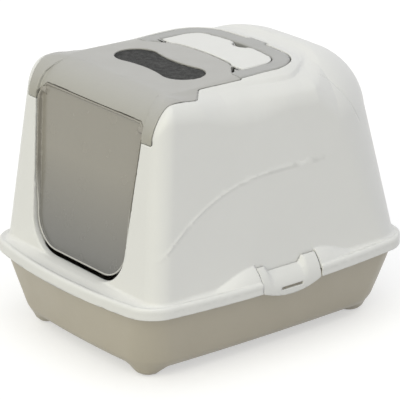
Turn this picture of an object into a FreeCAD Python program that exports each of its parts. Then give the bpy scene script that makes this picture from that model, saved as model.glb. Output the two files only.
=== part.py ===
import FreeCAD, Part
import math
import os
from FreeCAD import Vector

# A covered litter box: tray, hood, flip top, swing flap, handle, latches and filter.
# The front faces -Y, +Z is up and the origin lies on the floor below the middle.

SIZES = (
    # tray
    ("foot_height", 12.4, "floor of the tray above the ground"),
    ("side_flare", 44.0, "skirt edge outside the walls drawn down to the floor, long sides"),
    ("end_flare", 36.0, "the same at the ends"),
    ("floor_side_bow", 7.0, "how far a long side bows out at the floor"),
    ("floor_end_bow", 13.0, "how far an end bows out there"),
    ("floor_corner", 44.0, "corner radius there"),
    ("floor_round", 28.0, "rounded edge between floor and walls"),
    ("foot_side_inset", 44.0, "middle of a foot inside the floor's long sides"),
    ("foot_end_inset", 42.0, "middle of a foot inside the floor's ends"),
    ("foot_radius", 21.0, "foot at the ground"),
    ("foot_flare", 10.0, "how much wider a foot is at its root"),
    ("foot_round", 7.0, "rounded lower edge of a foot"),
    ("tray_wall", 3.0, "wall of the tray"),
    ("rim_overhang", 6.0, "skirt edge outside the top of the tray wall"),
    ("flange_thickness", 3.0, "rim flange of the tray"),
    # rim and skirt
    ("rim_height", 105.0, "lower edge of the skirt above the ground"),
    ("rim_half_width", 198.0, "skirt, middle of a long side"),
    ("rim_half_length", 250.0, "skirt, middle of an end"),
    ("rim_side_bow", 21.0, "how far a long side bows out"),
    ("rim_end_bow", 24.6, "how far an end bows out"),
    ("rim_corner", 32.0, "corner radius of the skirt"),
    ("skirt_band", 11.0, "upright band of the skirt"),
    ("skirt_bead", 3.5, "rounded bead on top of the band"),
    ("skirt_slope", 2.5, "rise of the ledge towards the hood wall"),
    ("skirt_wall", 2.8, "wall of the skirt"),
    # hood
    ("hood_height", 385.0, "top of the deck above the ground"),
    ("side_ledge", 17.5, "skirt edge outside the hood wall, long sides"),
    ("front_ledge", 30.0, "the same at the front"),
    ("back_ledge", 6.0, "the same at the back"),
    ("hood_front_bow", 3.0, "how far the front bows out"),
    ("hood_side_bow", 3.0, "how far the front half of a side bows out"),
    ("hood_rear_side_bow", 3.0, "how far the rear half of a side bows out at the rim"),
    ("hood_rear_side_bow_top", 5.0, "the same at the deck"),
    ("hood_back_bow", 12.0, "how far the back bows out"),
    ("hood_corner", 26.0, "upright corner radius at the front"),
    ("hood_rear_corner", 46.0, "upright corner radius at the rim's back"),
    ("hood_rear_corner_top", 130.0, "the same at the deck"),
    ("hood_wall", 3.0, "wall of the hood"),
    ("side_shoulder_front", 26.0, "round between side and deck at the front"),
    ("side_shoulder_middle", 58.0, "round between side and deck near the middle"),
    ("shoulder_narrow", 120.0, "where the front round begins to grow, in front of the middle"),
    ("shoulder_wide", 40.0, "where the middle round is, behind the middle"),
    ("front_shoulder", 48.0, "round between front and deck"),
    ("back_shoulder", 80.0, "round between back and deck"),
    ("shoulder_crease", 0.3, "how far a shoulder stands proud of its tangents"),
    # entrance
    ("sill_rise", 18.0, "lower edge of the entrance above the skirt's edge"),
    ("entrance_drop", 54.0, "upper end of the entrance sides, at the lugs, below the deck"),
    ("entrance_taper", 19.0, "entrance narrower at its lower edge, each side"),
    ("entrance_corner", 46.0, "lower corner radius of the entrance"),
    ("collar_depth", 17.0, "depth of the return round the entrance"),
    ("collar_wall", 2.5, "wall of the return"),
    # flip top
    ("lid_wall", 2.5, "wall of the flip top"),
    ("lid_inset", 22.0, "flip top inside the hood wall, at the lugs' lower end"),
    ("lug_width", 19.0, "lug beside the entrance"),
    ("lid_shoulder", 21.0, "flip top narrower on the deck, each side"),
    ("lid_step", 106.0, "step between the two widths, in front of the middle"),
    ("lid_side_end", 18.5, "side rear edges, in front of the middle"),
    ("hinge_gap", 8.0, "gap between the rear tongue and an arm of the handle"),
    ("tongue_side_end", 1.0, "rear end of the tongue's sides, behind the middle"),
    ("tongue_end", 9.0, "rear end of the tongue, behind the middle"),
    ("brow_drop", 31.5, "lower front edge of the flip top below the deck"),
    ("knee_width", 12.5, "slope between a lug and the sunk front panel, across"),
    ("brow_radius", 70.0, "bend of the sunk front panel"),
    ("brow_crease", 0.8, "crease between panel and deck"),
    ("knee_drop", 44.0, "upper end of a lug's inner side below the deck"),
    ("cheek_depth", 22.0, "depth of a lug's inner wall"),
    ("ledge_width", 7.0, "ledge of the hood under the flip top"),
    ("ledge_wall", 2.5, "thickness of that ledge"),
    ("ledge_root", 4.0, "how far the ledge reaches under the hood's deck"),
    # hinge of flip top and handle
    ("hinge_back", -4.0, "hinge line behind the middle"),
    ("hinge_drop", 3.0, "hinge line under the deck"),
    ("pin_radius", 2.0, "hinge pin"),
    ("pin_clearance", 0.06, "running clearance round a pin"),
    ("ear_radius", 5.0, "hinge ear of the flip top"),
    ("ear_thickness", 6.0, "width of an ear"),
    ("bracket_thickness", 5.0, "hinge bracket of the hood"),
    ("bracket_gap", 1.0, "gap between bracket and ear"),
    ("bracket_root", 10.0, "length of the bracket under the island"),
    # handle
    ("handle_inset", 3.0, "handle inside the flip top's deck sides"),
    ("handle_back", 99.0, "rear edge of the handle behind the middle"),
    ("handle_side_bow", 3.0, "bow of the arms"),
    ("handle_end_bow", 12.0, "bow of the rear bar"),
    ("handle_corner", 46.0, "outer corner radius"),
    ("handle_bar", 23.5, "width of the arms and the bar"),
    ("handle_thickness", 10.0, "thickness of the handle"),
    ("handle_tail", 13.5, "arm in front of the hinge line"),
    ("handle_root_width", 34.5, "width of the arms' roots"),
    ("handle_root_length", 12.0, "arms' roots behind the hinge line"),
    ("tab_half_width", 18.0, "half the rear thumb tab"),
    ("tab_reach", 7.0, "thumb tab beyond the bar"),
    ("handle_bore", 10.0, "depth of the pin hole in an arm"),
    ("trough_clearance", 1.0, "gap between handle and trough"),
    ("trough_wall", 2.5, "wall of the trough"),
    ("island_gap", 1.2, "gap between tongue and island"),
    # latch
    ("latch_half_length", 52.0, "half the latch"),
    ("latch_thickness", 4.0, "plate of the latch"),
    ("latch_clearance", 0.6, "gap round the latch"),
    ("latch_droop", 3.0, "latch below the skirt's edge"),
    ("horn_drop", 1.5, "top of the latch horns below the housing's top"),
    ("horn_outer", 38.0, "inner side of a horn's tip from the middle"),
    ("dip_half_length", 24.0, "half the dip between the horns"),
    ("dip_depth", 15.5, "depth of the dip below the horns"),
    ("latch_slot_half", 17.0, "half the finger slot"),
    ("latch_slot_height", 5.0, "height of the finger slot"),
    ("latch_slot_rise", 4.5, "finger slot above the latch's lower edge"),
    ("latch_pin_drop", 5.0, "pin below the top of a horn"),
    ("latch_pin_length", 3.0, "length of a latch pin"),
    ("hump_half_length", 96.0, "half the level top of the latch housing"),
    ("hump_run", 42.0, "slope at each end of the latch housing"),
    ("hump_rise", 39.5, "top of the latch housing above the skirt's edge"),
    ("hump_draft", 1.6, "inward lean of the housing over its height"),
    # flap
    ("flap_thickness", 2.5, "sheet of the flap"),
    ("flap_recess", 11.0, "flap behind the front at the hinge"),
    ("flap_gap", 2.6, "gap between flap and entrance"),
    ("flap_sill_gap", 5.0, "gap under the flap"),
    ("flap_lip_width", 3.0, "raised lip along the edge"),
    ("flap_lip_height", 1.6, "raised lip above the sheet"),
    ("pivot_drop", 42.0, "flap pivot below the deck"),
    ("flap_crown", 9.0, "flap above its pivot"),
    ("flap_shoulder_gap", 0.5, "flap's straight top edge inside the sunk panel's ends"),
    ("flap_pin_radius", 3.0, "pivot stub of the flap"),
    ("flap_ear_radius", 4.5, "thicker ear round each stub"),
    ("flap_ear_length", 13.0, "length of such an ear"),
    # filter
    ("filter_lobe", 30.5, "radius of a lobe of the filter window"),
    ("filter_spacing", 51.5, "centre of a lobe from the middle"),
    ("filter_waist", 24.0, "half the waist of the window"),
    ("filter_forward", 70.0, "window in front of the middle"),
    ("filter_seat", 5.0, "pad beyond the window"),
    ("filter_thickness", 7.0, "filter pad"),
    ("holder_wall", 2.0, "wall of the filter holder"),
    ("holder_slot", 7.0, "width of a slot in the holder"),
    ("holder_pitch", 14.0, "spacing of the slots"),
    ("holder_slot_half", 15.0, "half the length of a slot"),
    # general
    ("rest_gap", 0.3, "gap where one piece rests on another"),
    ("filter_gap", 0.3, "gap between pad and holder wall"),
    ("lid_clearance", 0.6, "gap round the flip top"),
    ("overrun", 5.0, "how far a cutter passes the surface it cuts"),
)

# Lean of the walls in degrees.
SIDE_LEAN = 5.2
FRONT_LEAN = 6.5
BACK_LEAN = 5.5

# Places of the sections through a bowed shoulder, as shares of half the hood's width.
BOW_SHARES = (-1.5, -1.0, -0.75, -0.5, -0.25, 0.0, 0.25, 0.5, 0.75, 1.0, 1.5)

doc = FreeCAD.newDocument("covered_litter_box")
sheet = doc.addObject("Spreadsheet::Sheet", "Sizes")
for row, (alias, value, note) in enumerate(SIZES, start=1):
    sheet.set(f"A{row}", note)
    sheet.set(f"B{row}", str(value))
    sheet.setAlias(f"B{row}", alias)
doc.recompute()
S = {alias: sheet.get(alias) for alias, value, note in SIZES}


def slope(degrees):
    return math.tan(math.radians(degrees))


# Sizes that follow from others.
S["floor_half_width"] = S["rim_half_width"] - S["side_flare"]
S["floor_half_length"] = S["rim_half_length"] - S["end_flare"]
S["foot_across"] = S["floor_half_width"] - S["foot_side_inset"]
S["foot_along"] = S["floor_half_length"] - S["foot_end_inset"]
S["hood_half_width"] = S["rim_half_width"] - S["side_ledge"]
S["hood_front"] = S["rim_half_length"] - S["front_ledge"]
S["hood_back"] = S["rim_half_length"] - S["back_ledge"]
S["entrance_bottom"] = S["rim_height"] + S["sill_rise"]
S["entrance_top"] = S["hood_height"] - S["entrance_drop"]
lug_draw = (S["entrance_top"] - S["rim_height"]) * slope(SIDE_LEAN)
S["lid_half_width"] = S["hood_half_width"] - lug_draw - S["lid_inset"]
S["entrance_half_width_top"] = S["lid_half_width"] - S["lug_width"]
S["entrance_half_width_low"] = S["entrance_half_width_top"] - S["entrance_taper"]
S["lid_deck_half_width"] = S["lid_half_width"] - S["lid_shoulder"]
S["brow_half_width"] = S["entrance_half_width_top"] - S["knee_width"]
S["brow_height"] = S["hood_height"] - S["brow_drop"]
S["lug_knee"] = S["hood_height"] - S["knee_drop"]
S["handle_half_width"] = S["lid_deck_half_width"] - S["handle_inset"]
S["handle_root"] = S["handle_half_width"] - S["handle_root_width"]
S["tongue_half_width"] = S["handle_root"] - S["hinge_gap"]
S["hump_height"] = S["rim_height"] + S["hump_rise"]
S["horn_height"] = S["hump_height"] - S["horn_drop"]
S["dip_height"] = S["horn_height"] - S["dip_depth"]
S["flap_pivot"] = S["hood_height"] - S["pivot_drop"]
S["flap_shoulder"] = S["brow_half_width"] - S["flap_shoulder_gap"]


def box(x0, x1, y0, y1, z0, z1):
    return Part.makeBox(x1 - x0, y1 - y0, z1 - z0, Vector(x0, y0, z0))


def cylinder_x(radius, x0, x1, y, z):
    return Part.makeCylinder(radius, x1 - x0, Vector(x0, y, z), Vector(1, 0, 0))


def mirrored(shape):
    return shape.mirror(Vector(0, 0, 0), Vector(1, 0, 0))


def both_sides(shape):
    return shape.fuse(mirrored(shape))


def half_outline(half_x, end, side_bow, end_bow, corner):
    """Quarter of a bowed rounded rectangle: points on its side and corner, and the corner's centre."""
    side_radius = (end ** 2 + side_bow ** 2) / (2 * side_bow)
    end_radius = (half_x ** 2 + end_bow ** 2) / (2 * end_bow)
    side_centre = Vector(half_x - side_radius, 0, 0)
    end_centre = Vector(0, end - end_radius, 0)
    reach_side = side_radius - corner
    reach_end = end_radius - corner
    between = end_centre - side_centre
    span = between.Length
    along = (reach_side ** 2 - reach_end ** 2 + span ** 2) / (2 * span)
    across = math.sqrt(reach_side ** 2 - along ** 2)
    unit = between / span
    normal = Vector(-unit.y, unit.x, 0)
    centre = side_centre + unit * along + normal * across
    on_side = side_centre + (centre - side_centre).normalize() * side_radius
    on_end = end_centre + (centre - end_centre).normalize() * end_radius
    out = ((on_side - centre) + (on_end - centre)).normalize()
    part_way = (Vector(half_x, 0, 0) + on_side) / 2
    on_arc = side_centre + (part_way - side_centre).normalize() * side_radius
    return on_arc, on_side, centre + out * corner, on_end, centre


def outline(half_x, front, back, z):
    """Rounded plan with bowed sides. Front and back are each a reach, side bow, end bow and corner."""
    arcs = []
    for sign, (end, side_bow, end_bow, corner) in ((1, back), (-1, front)):
        on_arc, on_side, on_corner, on_end, centre = half_outline(half_x, end, side_bow, end_bow, corner)

        def at(point, mirror):
            return Vector(point.x * mirror, point.y * sign, z)

        side = Vector(half_x, 0, 0)
        first = sign
        last = -sign
        arcs.append(Part.Arc(at(side, first), at(on_arc, first), at(on_side, first)))
        arcs.append(Part.Arc(at(on_side, first), at(on_corner, first), at(on_end, first)))
        arcs.append(Part.Arc(at(on_end, first), at(Vector(0, end, 0), first), at(on_end, last)))
        arcs.append(Part.Arc(at(on_end, last), at(on_corner, last), at(on_side, last)))
        arcs.append(Part.Arc(at(on_side, last), at(on_arc, last), at(side, last)))
    return Part.Wire([arc.toShape() for arc in arcs])


def even_outline(half_x, half_y, side_bow, end_bow, corner, z):
    """The same plan with front and back alike."""
    end = (half_y, side_bow, end_bow, corner)
    return outline(half_x, end, end, z)


def rim_outline(inset, z):
    corner = max(S["rim_corner"] - inset, S["tray_wall"])
    half_y = S["rim_half_length"] - inset
    return even_outline(S["rim_half_width"] - inset, half_y, S["rim_side_bow"], S["rim_end_bow"], corner, z)


def up_the_hood(low, high, z):
    """A size that changes evenly from the rim to the deck."""
    return low + (high - low) * (z - S["rim_height"]) / (S["hood_height"] - S["rim_height"])


def wall_reach(at_rim, lean, z):
    """Distance of a leaning wall from the middle at a height."""
    return at_rim - (z - S["rim_height"]) * slope(lean)


def spandrel(x, radius, reach, lean, inset):
    """Outline of what a rounded shoulder takes off a wall on the -Y side, in a plane across X.

    The wall has this reach at the level of the shoulder's centre. A slight crease is left at both ends.
    """
    top = S["hood_height"] + S["overrun"]
    z = S["hood_height"] - radius + S["shoulder_crease"]
    y = radius / math.cos(lean) - reach - S["shoulder_crease"]
    round_radius = radius - inset

    def on_round(angle):
        return Vector(x, y - round_radius * math.cos(angle), z + round_radius * math.sin(angle))

    spring = on_round(lean)
    crown = on_round(math.pi / 2)
    far = -S["rim_half_length"]
    arc = Part.Arc(spring, on_round((lean + math.pi / 2) / 2), crown).toShape()
    sides = Part.makePolygon([crown, Vector(x, y, top), Vector(x, far, top), Vector(x, far, spring.z), spring])
    return Part.Wire([arc] + sides.Edges)


def rear_plan(inset, z):
    """Reach, side bow, end bow and corner of the hood's rear half at a height."""
    return (wall_reach(S["hood_back"], BACK_LEAN, z) - inset,
            up_the_hood(S["hood_rear_side_bow"], S["hood_rear_side_bow_top"], z),
            S["hood_back_bow"],
            up_the_hood(S["hood_rear_corner"], S["hood_rear_corner_top"], z) - inset)


def hood_form(inset, base):
    """The hood as a closed form, drawn in by a wall's thickness."""
    top = S["hood_height"]
    rings = []
    for z in (base, top - inset):
        half_x = wall_reach(S["hood_half_width"], SIDE_LEAN, z) - inset
        front = (wall_reach(S["hood_front"], FRONT_LEAN, z) - inset, S["hood_side_bow"],
                 S["hood_front_bow"], S["hood_corner"] - inset)
        rings.append(outline(half_x, front, rear_plan(inset, z), z))
    form = Part.makeLoft(rings, True, True)

    wide = S["rim_half_length"]
    radius = S["front_shoulder"]
    reach = wall_reach(S["hood_front"], FRONT_LEAN, top - radius)
    lean = math.radians(FRONT_LEAN)
    front_cut = Part.makeLoft([spandrel(x, radius, reach, lean, inset) for x in (-wide, wide)], True, True)

    radius = S["back_shoulder"]
    level = top - radius
    half_x = wall_reach(S["hood_half_width"], SIDE_LEAN, level)
    reach, side_bow, end_bow, corner = rear_plan(0, level)
    lean = math.radians(BACK_LEAN)
    wires = [spandrel(share * half_x, radius, reach - end_bow * share ** 2, lean, inset) for share in BOW_SHARES]
    back_cut = Part.makeLoft(wires, True, True)
    back_cut.rotate(Vector(0, 0, 0), Vector(0, 0, 1), 180)

    centre = half_outline(half_x, reach, side_bow, end_bow, corner)[-1]
    profile = Part.Face(spandrel(0, radius, corner, lean, inset))
    corner_cut = profile.revolve(Vector(0, 0, 0), Vector(0, 0, 1), 90)
    corner_cut.rotate(Vector(0, 0, 0), Vector(0, 0, 1), 90)
    corner_cut.translate(centre)

    stations = ((-wide, S["side_shoulder_front"]), (-S["shoulder_narrow"], S["side_shoulder_front"]),
                (S["shoulder_wide"], S["side_shoulder_middle"]), (centre.y, S["back_shoulder"]),
                (wide, S["back_shoulder"]))
    lean = math.radians(SIDE_LEAN)
    wires = []
    for along, radius in stations:
        reach = wall_reach(S["hood_half_width"], SIDE_LEAN, top - radius)
        if along > S["shoulder_wide"]:
            reach -= S["hood_rear_side_bow_top"] * (along / reach) ** 2
        wires.append(spandrel(along, radius, reach, lean, inset))
    side_cut = Part.makeLoft(wires, True, True)
    side_cut.rotate(Vector(0, 0, 0), Vector(0, 0, 1), 90)
    for cutter in (front_cut, back_cut, side_cut, mirrored(side_cut), corner_cut, mirrored(corner_cut)):
        form = form.cut(cutter)
    return form


def prism(points, direction):
    """Closed polygon of points, extruded along a vector."""
    return Part.Face(Part.makePolygon(list(points) + [points[0]])).extrude(direction)


# Levels and places that several pieces share.
TOP = S["hood_height"]
LOW = -S["overrun"]
FAR = S["rim_half_length"] + S["overrun"]
LEDGE_UNDER = S["rim_height"] + S["skirt_band"]
FLANGE_TOP = LEDGE_UNDER - S["rest_gap"]
HINGE_Y = S["hinge_back"]
HINGE_Z = TOP - S["hinge_drop"]
TAIL_Y = HINGE_Y - S["handle_tail"]
ENTRANCE_TOP = S["entrance_top"]


def front_wall(z):
    """Distance of the front wall from the middle at a height, without its shoulder."""
    return wall_reach(S["hood_front"], FRONT_LEAN, z)


def front_slab(depth):
    """The space within a depth of the front wall, up to the deck."""
    low = S["rim_height"]
    corners = [Vector(-FAR, -front_wall(low) - S["overrun"], low),
               Vector(-FAR, -front_wall(TOP) - S["overrun"], TOP),
               Vector(-FAR, -front_wall(TOP) + depth, TOP),
               Vector(-FAR, -front_wall(low) + depth, low)]
    return prism(corners, Vector(2 * FAR, 0, 0))


def rounded_foot(solid, bottom, radius):
    """Rounds the two lower corners of an upright plate that lies across Y."""
    edges = []
    for edge in solid.Edges:
        low = edge.BoundBox.ZMax < bottom + S["rest_gap"]
        if low and edge.BoundBox.YLength > edge.BoundBox.XLength:
            edges.append(edge)
    return solid.makeFillet(radius, edges)


def portal(grow):
    """The entrance as a prism through the front wall."""
    half_top = S["entrance_half_width_top"] + grow
    half_low = S["entrance_half_width_low"] + grow
    bottom = S["entrance_bottom"] - grow
    corners = [Vector(-half_low, -FAR, bottom), Vector(half_low, -FAR, bottom),
               Vector(half_top, -FAR, ENTRANCE_TOP), Vector(-half_top, -FAR, ENTRANCE_TOP)]
    return rounded_foot(prism(corners, Vector(0, FAR - S["tongue_half_width"], 0)),
                        bottom, S["entrance_corner"] + grow)


# Tray: flared pan on four corner feet, with a rim flange.
def tray_form(inset, bottom, top):
    rings = []
    for z in (bottom, top):
        share = (z - S["foot_height"]) / (FLANGE_TOP - S["foot_height"])
        half_x = S["floor_half_width"] + share * (S["rim_half_width"] - S["rim_overhang"] - S["floor_half_width"])
        half_y = S["floor_half_length"] + share * (S["rim_half_length"] - S["rim_overhang"] - S["floor_half_length"])
        side_bow = S["floor_side_bow"] + share * (S["rim_side_bow"] - S["floor_side_bow"])
        end_bow = S["floor_end_bow"] + share * (S["rim_end_bow"] - S["floor_end_bow"])
        corner = S["floor_corner"] + share * (S["rim_corner"] - S["floor_corner"])
        rings.append(even_outline(half_x - inset, half_y - inset, side_bow, end_bow, corner - inset, z))
    return Part.makeLoft(rings, True, True)


def rounded_floor(solid, bottom, radius):
    """Rounds the edge all round the floor."""
    return solid.makeFillet(radius, [edge for edge in solid.Edges if edge.BoundBox.ZMax < bottom + S["rest_gap"]])


tray_floor = S["foot_height"] + S["tray_wall"]
tray_inside = tray_form(S["tray_wall"], tray_floor, FLANGE_TOP + S["overrun"])
tray_inside = rounded_floor(tray_inside, tray_floor, S["floor_round"] - S["tray_wall"])
tray_shape = rounded_floor(tray_form(0, S["foot_height"], FLANGE_TOP), S["foot_height"], S["floor_round"])
flange_inset = S["latch_thickness"] + S["rest_gap"]
flange_base = Part.Face(rim_outline(flange_inset, FLANGE_TOP - S["flange_thickness"]))
tray_shape = tray_shape.fuse(flange_base.extrude(Vector(0, 0, S["flange_thickness"])))
relief_half = S["latch_half_length"] + S["latch_clearance"]
relief = box(-FAR, FAR, -relief_half, relief_half, FLANGE_TOP - S["flange_thickness"], TOP)
behind_latch = Part.Face(rim_outline(flange_inset + S["hump_draft"], S["rim_height"] - S["overrun"]))
tray_shape = tray_shape.cut(relief.cut(behind_latch.extrude(Vector(0, 0, TOP))))
foot_root = S["foot_height"] + S["floor_round"]
for across in (-S["foot_across"], S["foot_across"]):
    for along in (-S["foot_along"], S["foot_along"]):
        foot = Part.makeCone(S["foot_radius"], S["foot_radius"] + S["foot_flare"], foot_root, Vector(across, along, 0))
        tray_shape = tray_shape.fuse(rounded_floor(foot, 0, S["foot_round"]))
tray_shape = tray_shape.cut(tray_inside).removeSplitter()


# Handle plan, also used for the trough that it lies in.
def handle_plan(grow, bottom, height, swing=0):
    """Plan grown all round, with the room behind the arms' roots that their swing needs."""
    rise = Vector(0, 0, height)
    back = S["handle_back"] + grow
    outer = even_outline(S["handle_half_width"] + grow, back, S["handle_side_bow"],
                         S["handle_end_bow"], S["handle_corner"] + grow, bottom)
    inner_back = S["handle_back"] - S["handle_bar"] - grow
    inner = even_outline(S["handle_half_width"] - S["handle_bar"] - grow, inner_back, S["handle_side_bow"],
                         S["handle_end_bow"], S["handle_corner"] - S["handle_bar"] - grow, bottom)
    plan = Part.Face(outer).extrude(rise).cut(Part.Face(inner).extrude(rise))
    plan = plan.cut(box(-FAR, FAR, -FAR, TAIL_Y - grow, bottom - S["overrun"], TOP + height))
    tab_half = S["tab_half_width"] + grow
    tab_front = S["handle_back"] - S["handle_bar"] / 2
    plan = plan.fuse(box(-tab_half, tab_half, tab_front, back + S["tab_reach"], bottom, bottom + height))
    root = box(S["handle_root"] - grow, S["handle_half_width"] - S["handle_bar"] / 2, TAIL_Y - grow,
               HINGE_Y + S["handle_root_length"] + grow + swing, bottom, bottom + height)
    return plan.fuse(both_sides(root))


# Hood: shell, skirt and latch housings, less everything that is set into them.
form = hood_form(0, S["rim_height"])
form_inside = hood_form(S["hood_wall"], S["rim_height"] - S["overrun"])

bead_top = LEDGE_UNDER + S["skirt_bead"]
ledge_reach = S["rim_half_length"] - S["hood_front"] + S["hood_wall"]
skirt = Part.makeLoft([rim_outline(0, S["rim_height"]),
                       rim_outline(0, LEDGE_UNDER),
                       rim_outline(S["skirt_bead"], bead_top),
                       rim_outline(ledge_reach, bead_top + S["skirt_slope"])], True, True)
skirt_inside = Part.Face(rim_outline(S["skirt_wall"], S["rim_height"] - S["overrun"]))
skirt_inside = skirt_inside.extrude(Vector(0, 0, S["overrun"] + S["skirt_band"]))


def hump(inset):
    """Latch housings of both sides as one block across the hood."""
    low = LEDGE_UNDER
    high = S["hump_height"] - inset
    level = S["hump_half_length"] - inset
    foot = level + S["hump_run"]
    bend = level + S["hump_run"] / 2
    edges = []
    for sign in (1, -1):
        curve = Part.BezierCurve()
        curve.setPoles([Vector(-FAR, sign * foot, low), Vector(-FAR, sign * bend, low),
                        Vector(-FAR, sign * bend, high), Vector(-FAR, sign * level, high)])
        edges.append(curve.toShape())
    edges.append(Part.makeLine(Vector(-FAR, level, high), Vector(-FAR, -level, high)))
    edges.append(Part.makeLine(Vector(-FAR, -foot, low), Vector(-FAR, foot, low)))
    profile = Part.Face(Part.Wire(Part.__sortEdges__(edges))).extrude(Vector(2 * FAR, 0, 0))
    band = Part.makeLoft([rim_outline(inset, S["rim_height"]),
                          rim_outline(inset + S["hump_draft"], S["hump_height"])], True, True)
    return band.common(profile)


latch_bay = S["latch_half_length"] + S["latch_clearance"]
bay_wall = latch_bay + S["latch_pin_length"] + S["rest_gap"]
hump_top = S["hump_height"] + S["overrun"]
hump_inside = hump(S["skirt_wall"]).cut(form)
hump_inside = hump_inside.cut(box(-FAR, FAR, -bay_wall, bay_wall, 0, hump_top))
bay = box(-FAR, FAR, -latch_bay, latch_bay, S["rim_height"] - S["overrun"], hump_top).cut(form)

latch_pin_x = S["rim_half_width"] - S["hump_draft"] - S["latch_thickness"] / 2
latch_pin_z = S["horn_height"] - S["latch_pin_drop"]


def latch_pins(radius, end):
    """Pins of the right latch, from the plate's ends outwards."""
    pins = Part.makeCylinder(radius, 2 * end, Vector(latch_pin_x, -end, latch_pin_z), Vector(0, 1, 0))
    middle = S["latch_half_length"] - S["latch_pin_length"]
    return pins.cut(box(0, FAR, -middle, middle, 0, TOP))


hood_shape = form.fuse(skirt).fuse(hump(0))
hood_shape = hood_shape.cut(form_inside).cut(skirt_inside).cut(hump_inside).cut(bay)
hood_shape = hood_shape.cut(both_sides(latch_pins(S["pin_radius"] + S["pin_clearance"], bay_wall)))

# Entrance with its return.
collar = portal(S["collar_wall"]).cut(portal(0)).common(front_slab(S["collar_depth"])).common(form)
hood_shape = hood_shape.cut(portal(0)).fuse(collar)

# Seat of the flip top: cut-out and ledge.
gap = S["lid_clearance"]
lid_edge = S["lid_half_width"] + gap
deck_edge = S["lid_deck_half_width"] + gap
step_y = gap - S["lid_step"]
side_end_y = gap - S["lid_side_end"]
deck_low = TOP - S["front_shoulder"]
pocket_half = S["handle_root"] - S["trough_clearance"]
pocket_y = S["tongue_side_end"] + S["island_gap"]


def tongue_plan(half, side_y, end_y, bottom):
    """Plate of the rear tongue, with its bowed rear edge."""
    bow = Part.Arc(Vector(half, side_y, bottom), Vector(0, end_y, bottom), Vector(-half, side_y, bottom)).toShape()
    front = -S["lid_step"]
    sides = Part.makePolygon([Vector(-half, side_y, bottom), Vector(-half, front, bottom),
                              Vector(half, front, bottom), Vector(half, side_y, bottom)])
    face = Part.Face(Part.Wire([bow] + sides.Edges))
    return face.extrude(Vector(0, 0, TOP + S["overrun"] - bottom))


ledge_top = S["lid_wall"] + S["rest_gap"]
ledge = hood_form(ledge_top, S["entrance_top"]).cut(hood_form(ledge_top + S["ledge_wall"], S["rim_height"]))
root = S["ledge_root"]
width = S["ledge_width"]
strips = box(lid_edge - width, lid_edge + root, -FAR, step_y + root, ENTRANCE_TOP + root, TOP)
strips = strips.fuse(box(deck_edge - width, lid_edge + root, step_y - width, step_y + root, deck_low, TOP))
strips = strips.fuse(box(deck_edge - width, deck_edge + root, step_y, side_end_y - width, deck_low, TOP))
ledge = ledge.common(both_sides(strips))

seat = box(-lid_edge, lid_edge, -FAR, step_y, ENTRANCE_TOP - gap, TOP + S["overrun"])
seat = seat.fuse(box(-deck_edge, deck_edge, step_y - root, side_end_y, deck_low, TOP + S["overrun"]))
seat = seat.fuse(box(-pocket_half, pocket_half, side_end_y - root, pocket_y, deck_low, TOP + S["overrun"]))
seat = seat.fuse(tongue_plan(S["tongue_half_width"] + gap, pocket_y,
                             S["tongue_end"] + S["island_gap"], deck_low))

# Trough of the handle, open below the arms' tails, and the hinge brackets with their pins.
clear = S["trough_clearance"]
trough_low = TOP - S["handle_thickness"] - clear
tail_end = HINGE_Y + S["handle_thickness"]
root_below = S["handle_thickness"] - S["hinge_drop"]
root_swing = math.hypot(S["handle_root_length"], root_below) - S["handle_root_length"]
trough = handle_plan(clear + S["trough_wall"], trough_low - S["trough_wall"],
                     S["handle_thickness"] + clear + S["trough_wall"], root_swing).common(form)
trough = trough.cut(box(-FAR, FAR, -FAR, tail_end, deck_low, TOP + S["overrun"]))
trough_cut = handle_plan(clear, trough_low, S["handle_thickness"] + clear + S["overrun"], root_swing)
bracket_inner = S["tongue_half_width"] + S["bracket_gap"]
bracket_outer = bracket_inner + S["bracket_thickness"]
bracket_low = HINGE_Z - 2 * S["pin_radius"]
bracket = box(bracket_inner, bracket_outer, HINGE_Y - 2 * S["pin_radius"], pocket_y + S["bracket_root"],
              bracket_low, TOP - S["hood_wall"] / 2)
hinge_pin = cylinder_x(S["pin_radius"], S["tongue_half_width"] - S["ear_thickness"],
                       S["handle_root"] + S["handle_bore"] - clear, HINGE_Y, HINGE_Z)

hood_shape = hood_shape.cut(seat).fuse(ledge).fuse(trough).cut(trough_cut)
hood_shape = hood_shape.fuse(both_sides(bracket.fuse(hinge_pin))).removeSplitter()


# Flip top: shell of the same form, with a sunk front panel, lugs, hinge ears and the filter window.
def brow_cutter(grow):
    """What the sunk front panel takes off the form."""
    radius = S["brow_radius"]
    y = radius - front_wall(TOP)
    z = TOP - radius + S["brow_crease"]
    half = S["brow_half_width"] + grow
    block = box(-half, half, -FAR, y, z, TOP + S["overrun"])
    return block.cut(cylinder_x(radius - grow, -FAR, FAR, y, z))


lid_outer = form.cut(brow_cutter(0))
lid_inner = hood_form(S["lid_wall"], S["rim_height"]).cut(brow_cutter(S["lid_wall"]))
front_part = box(-S["lid_half_width"], S["lid_half_width"], -FAR, -S["lid_step"], ENTRANCE_TOP, TOP)
deck_part = box(-S["lid_deck_half_width"], S["lid_deck_half_width"], -S["lid_step"], -S["lid_side_end"], deck_low, TOP)
tongue = tongue_plan(S["tongue_half_width"], S["tongue_side_end"], S["tongue_end"], deck_low)
lid_region = front_part.fuse(deck_part).fuse(tongue)
half_top = S["entrance_half_width_top"]
brow = S["brow_half_width"]
doorway = prism([Vector(-half_top, -FAR, 0), Vector(-half_top, -FAR, S["lug_knee"]),
                 Vector(-brow, -FAR, S["brow_height"]), Vector(brow, -FAR, S["brow_height"]),
                 Vector(half_top, -FAR, S["lug_knee"]), Vector(half_top, -FAR, 0)],
                Vector(0, FAR - S["lid_step"], 0))
flip_shape = lid_outer.cut(lid_inner).common(lid_region)
cheek = box(half_top, half_top + S["lid_wall"], -FAR, -S["lid_step"], ENTRANCE_TOP, TOP)
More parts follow.
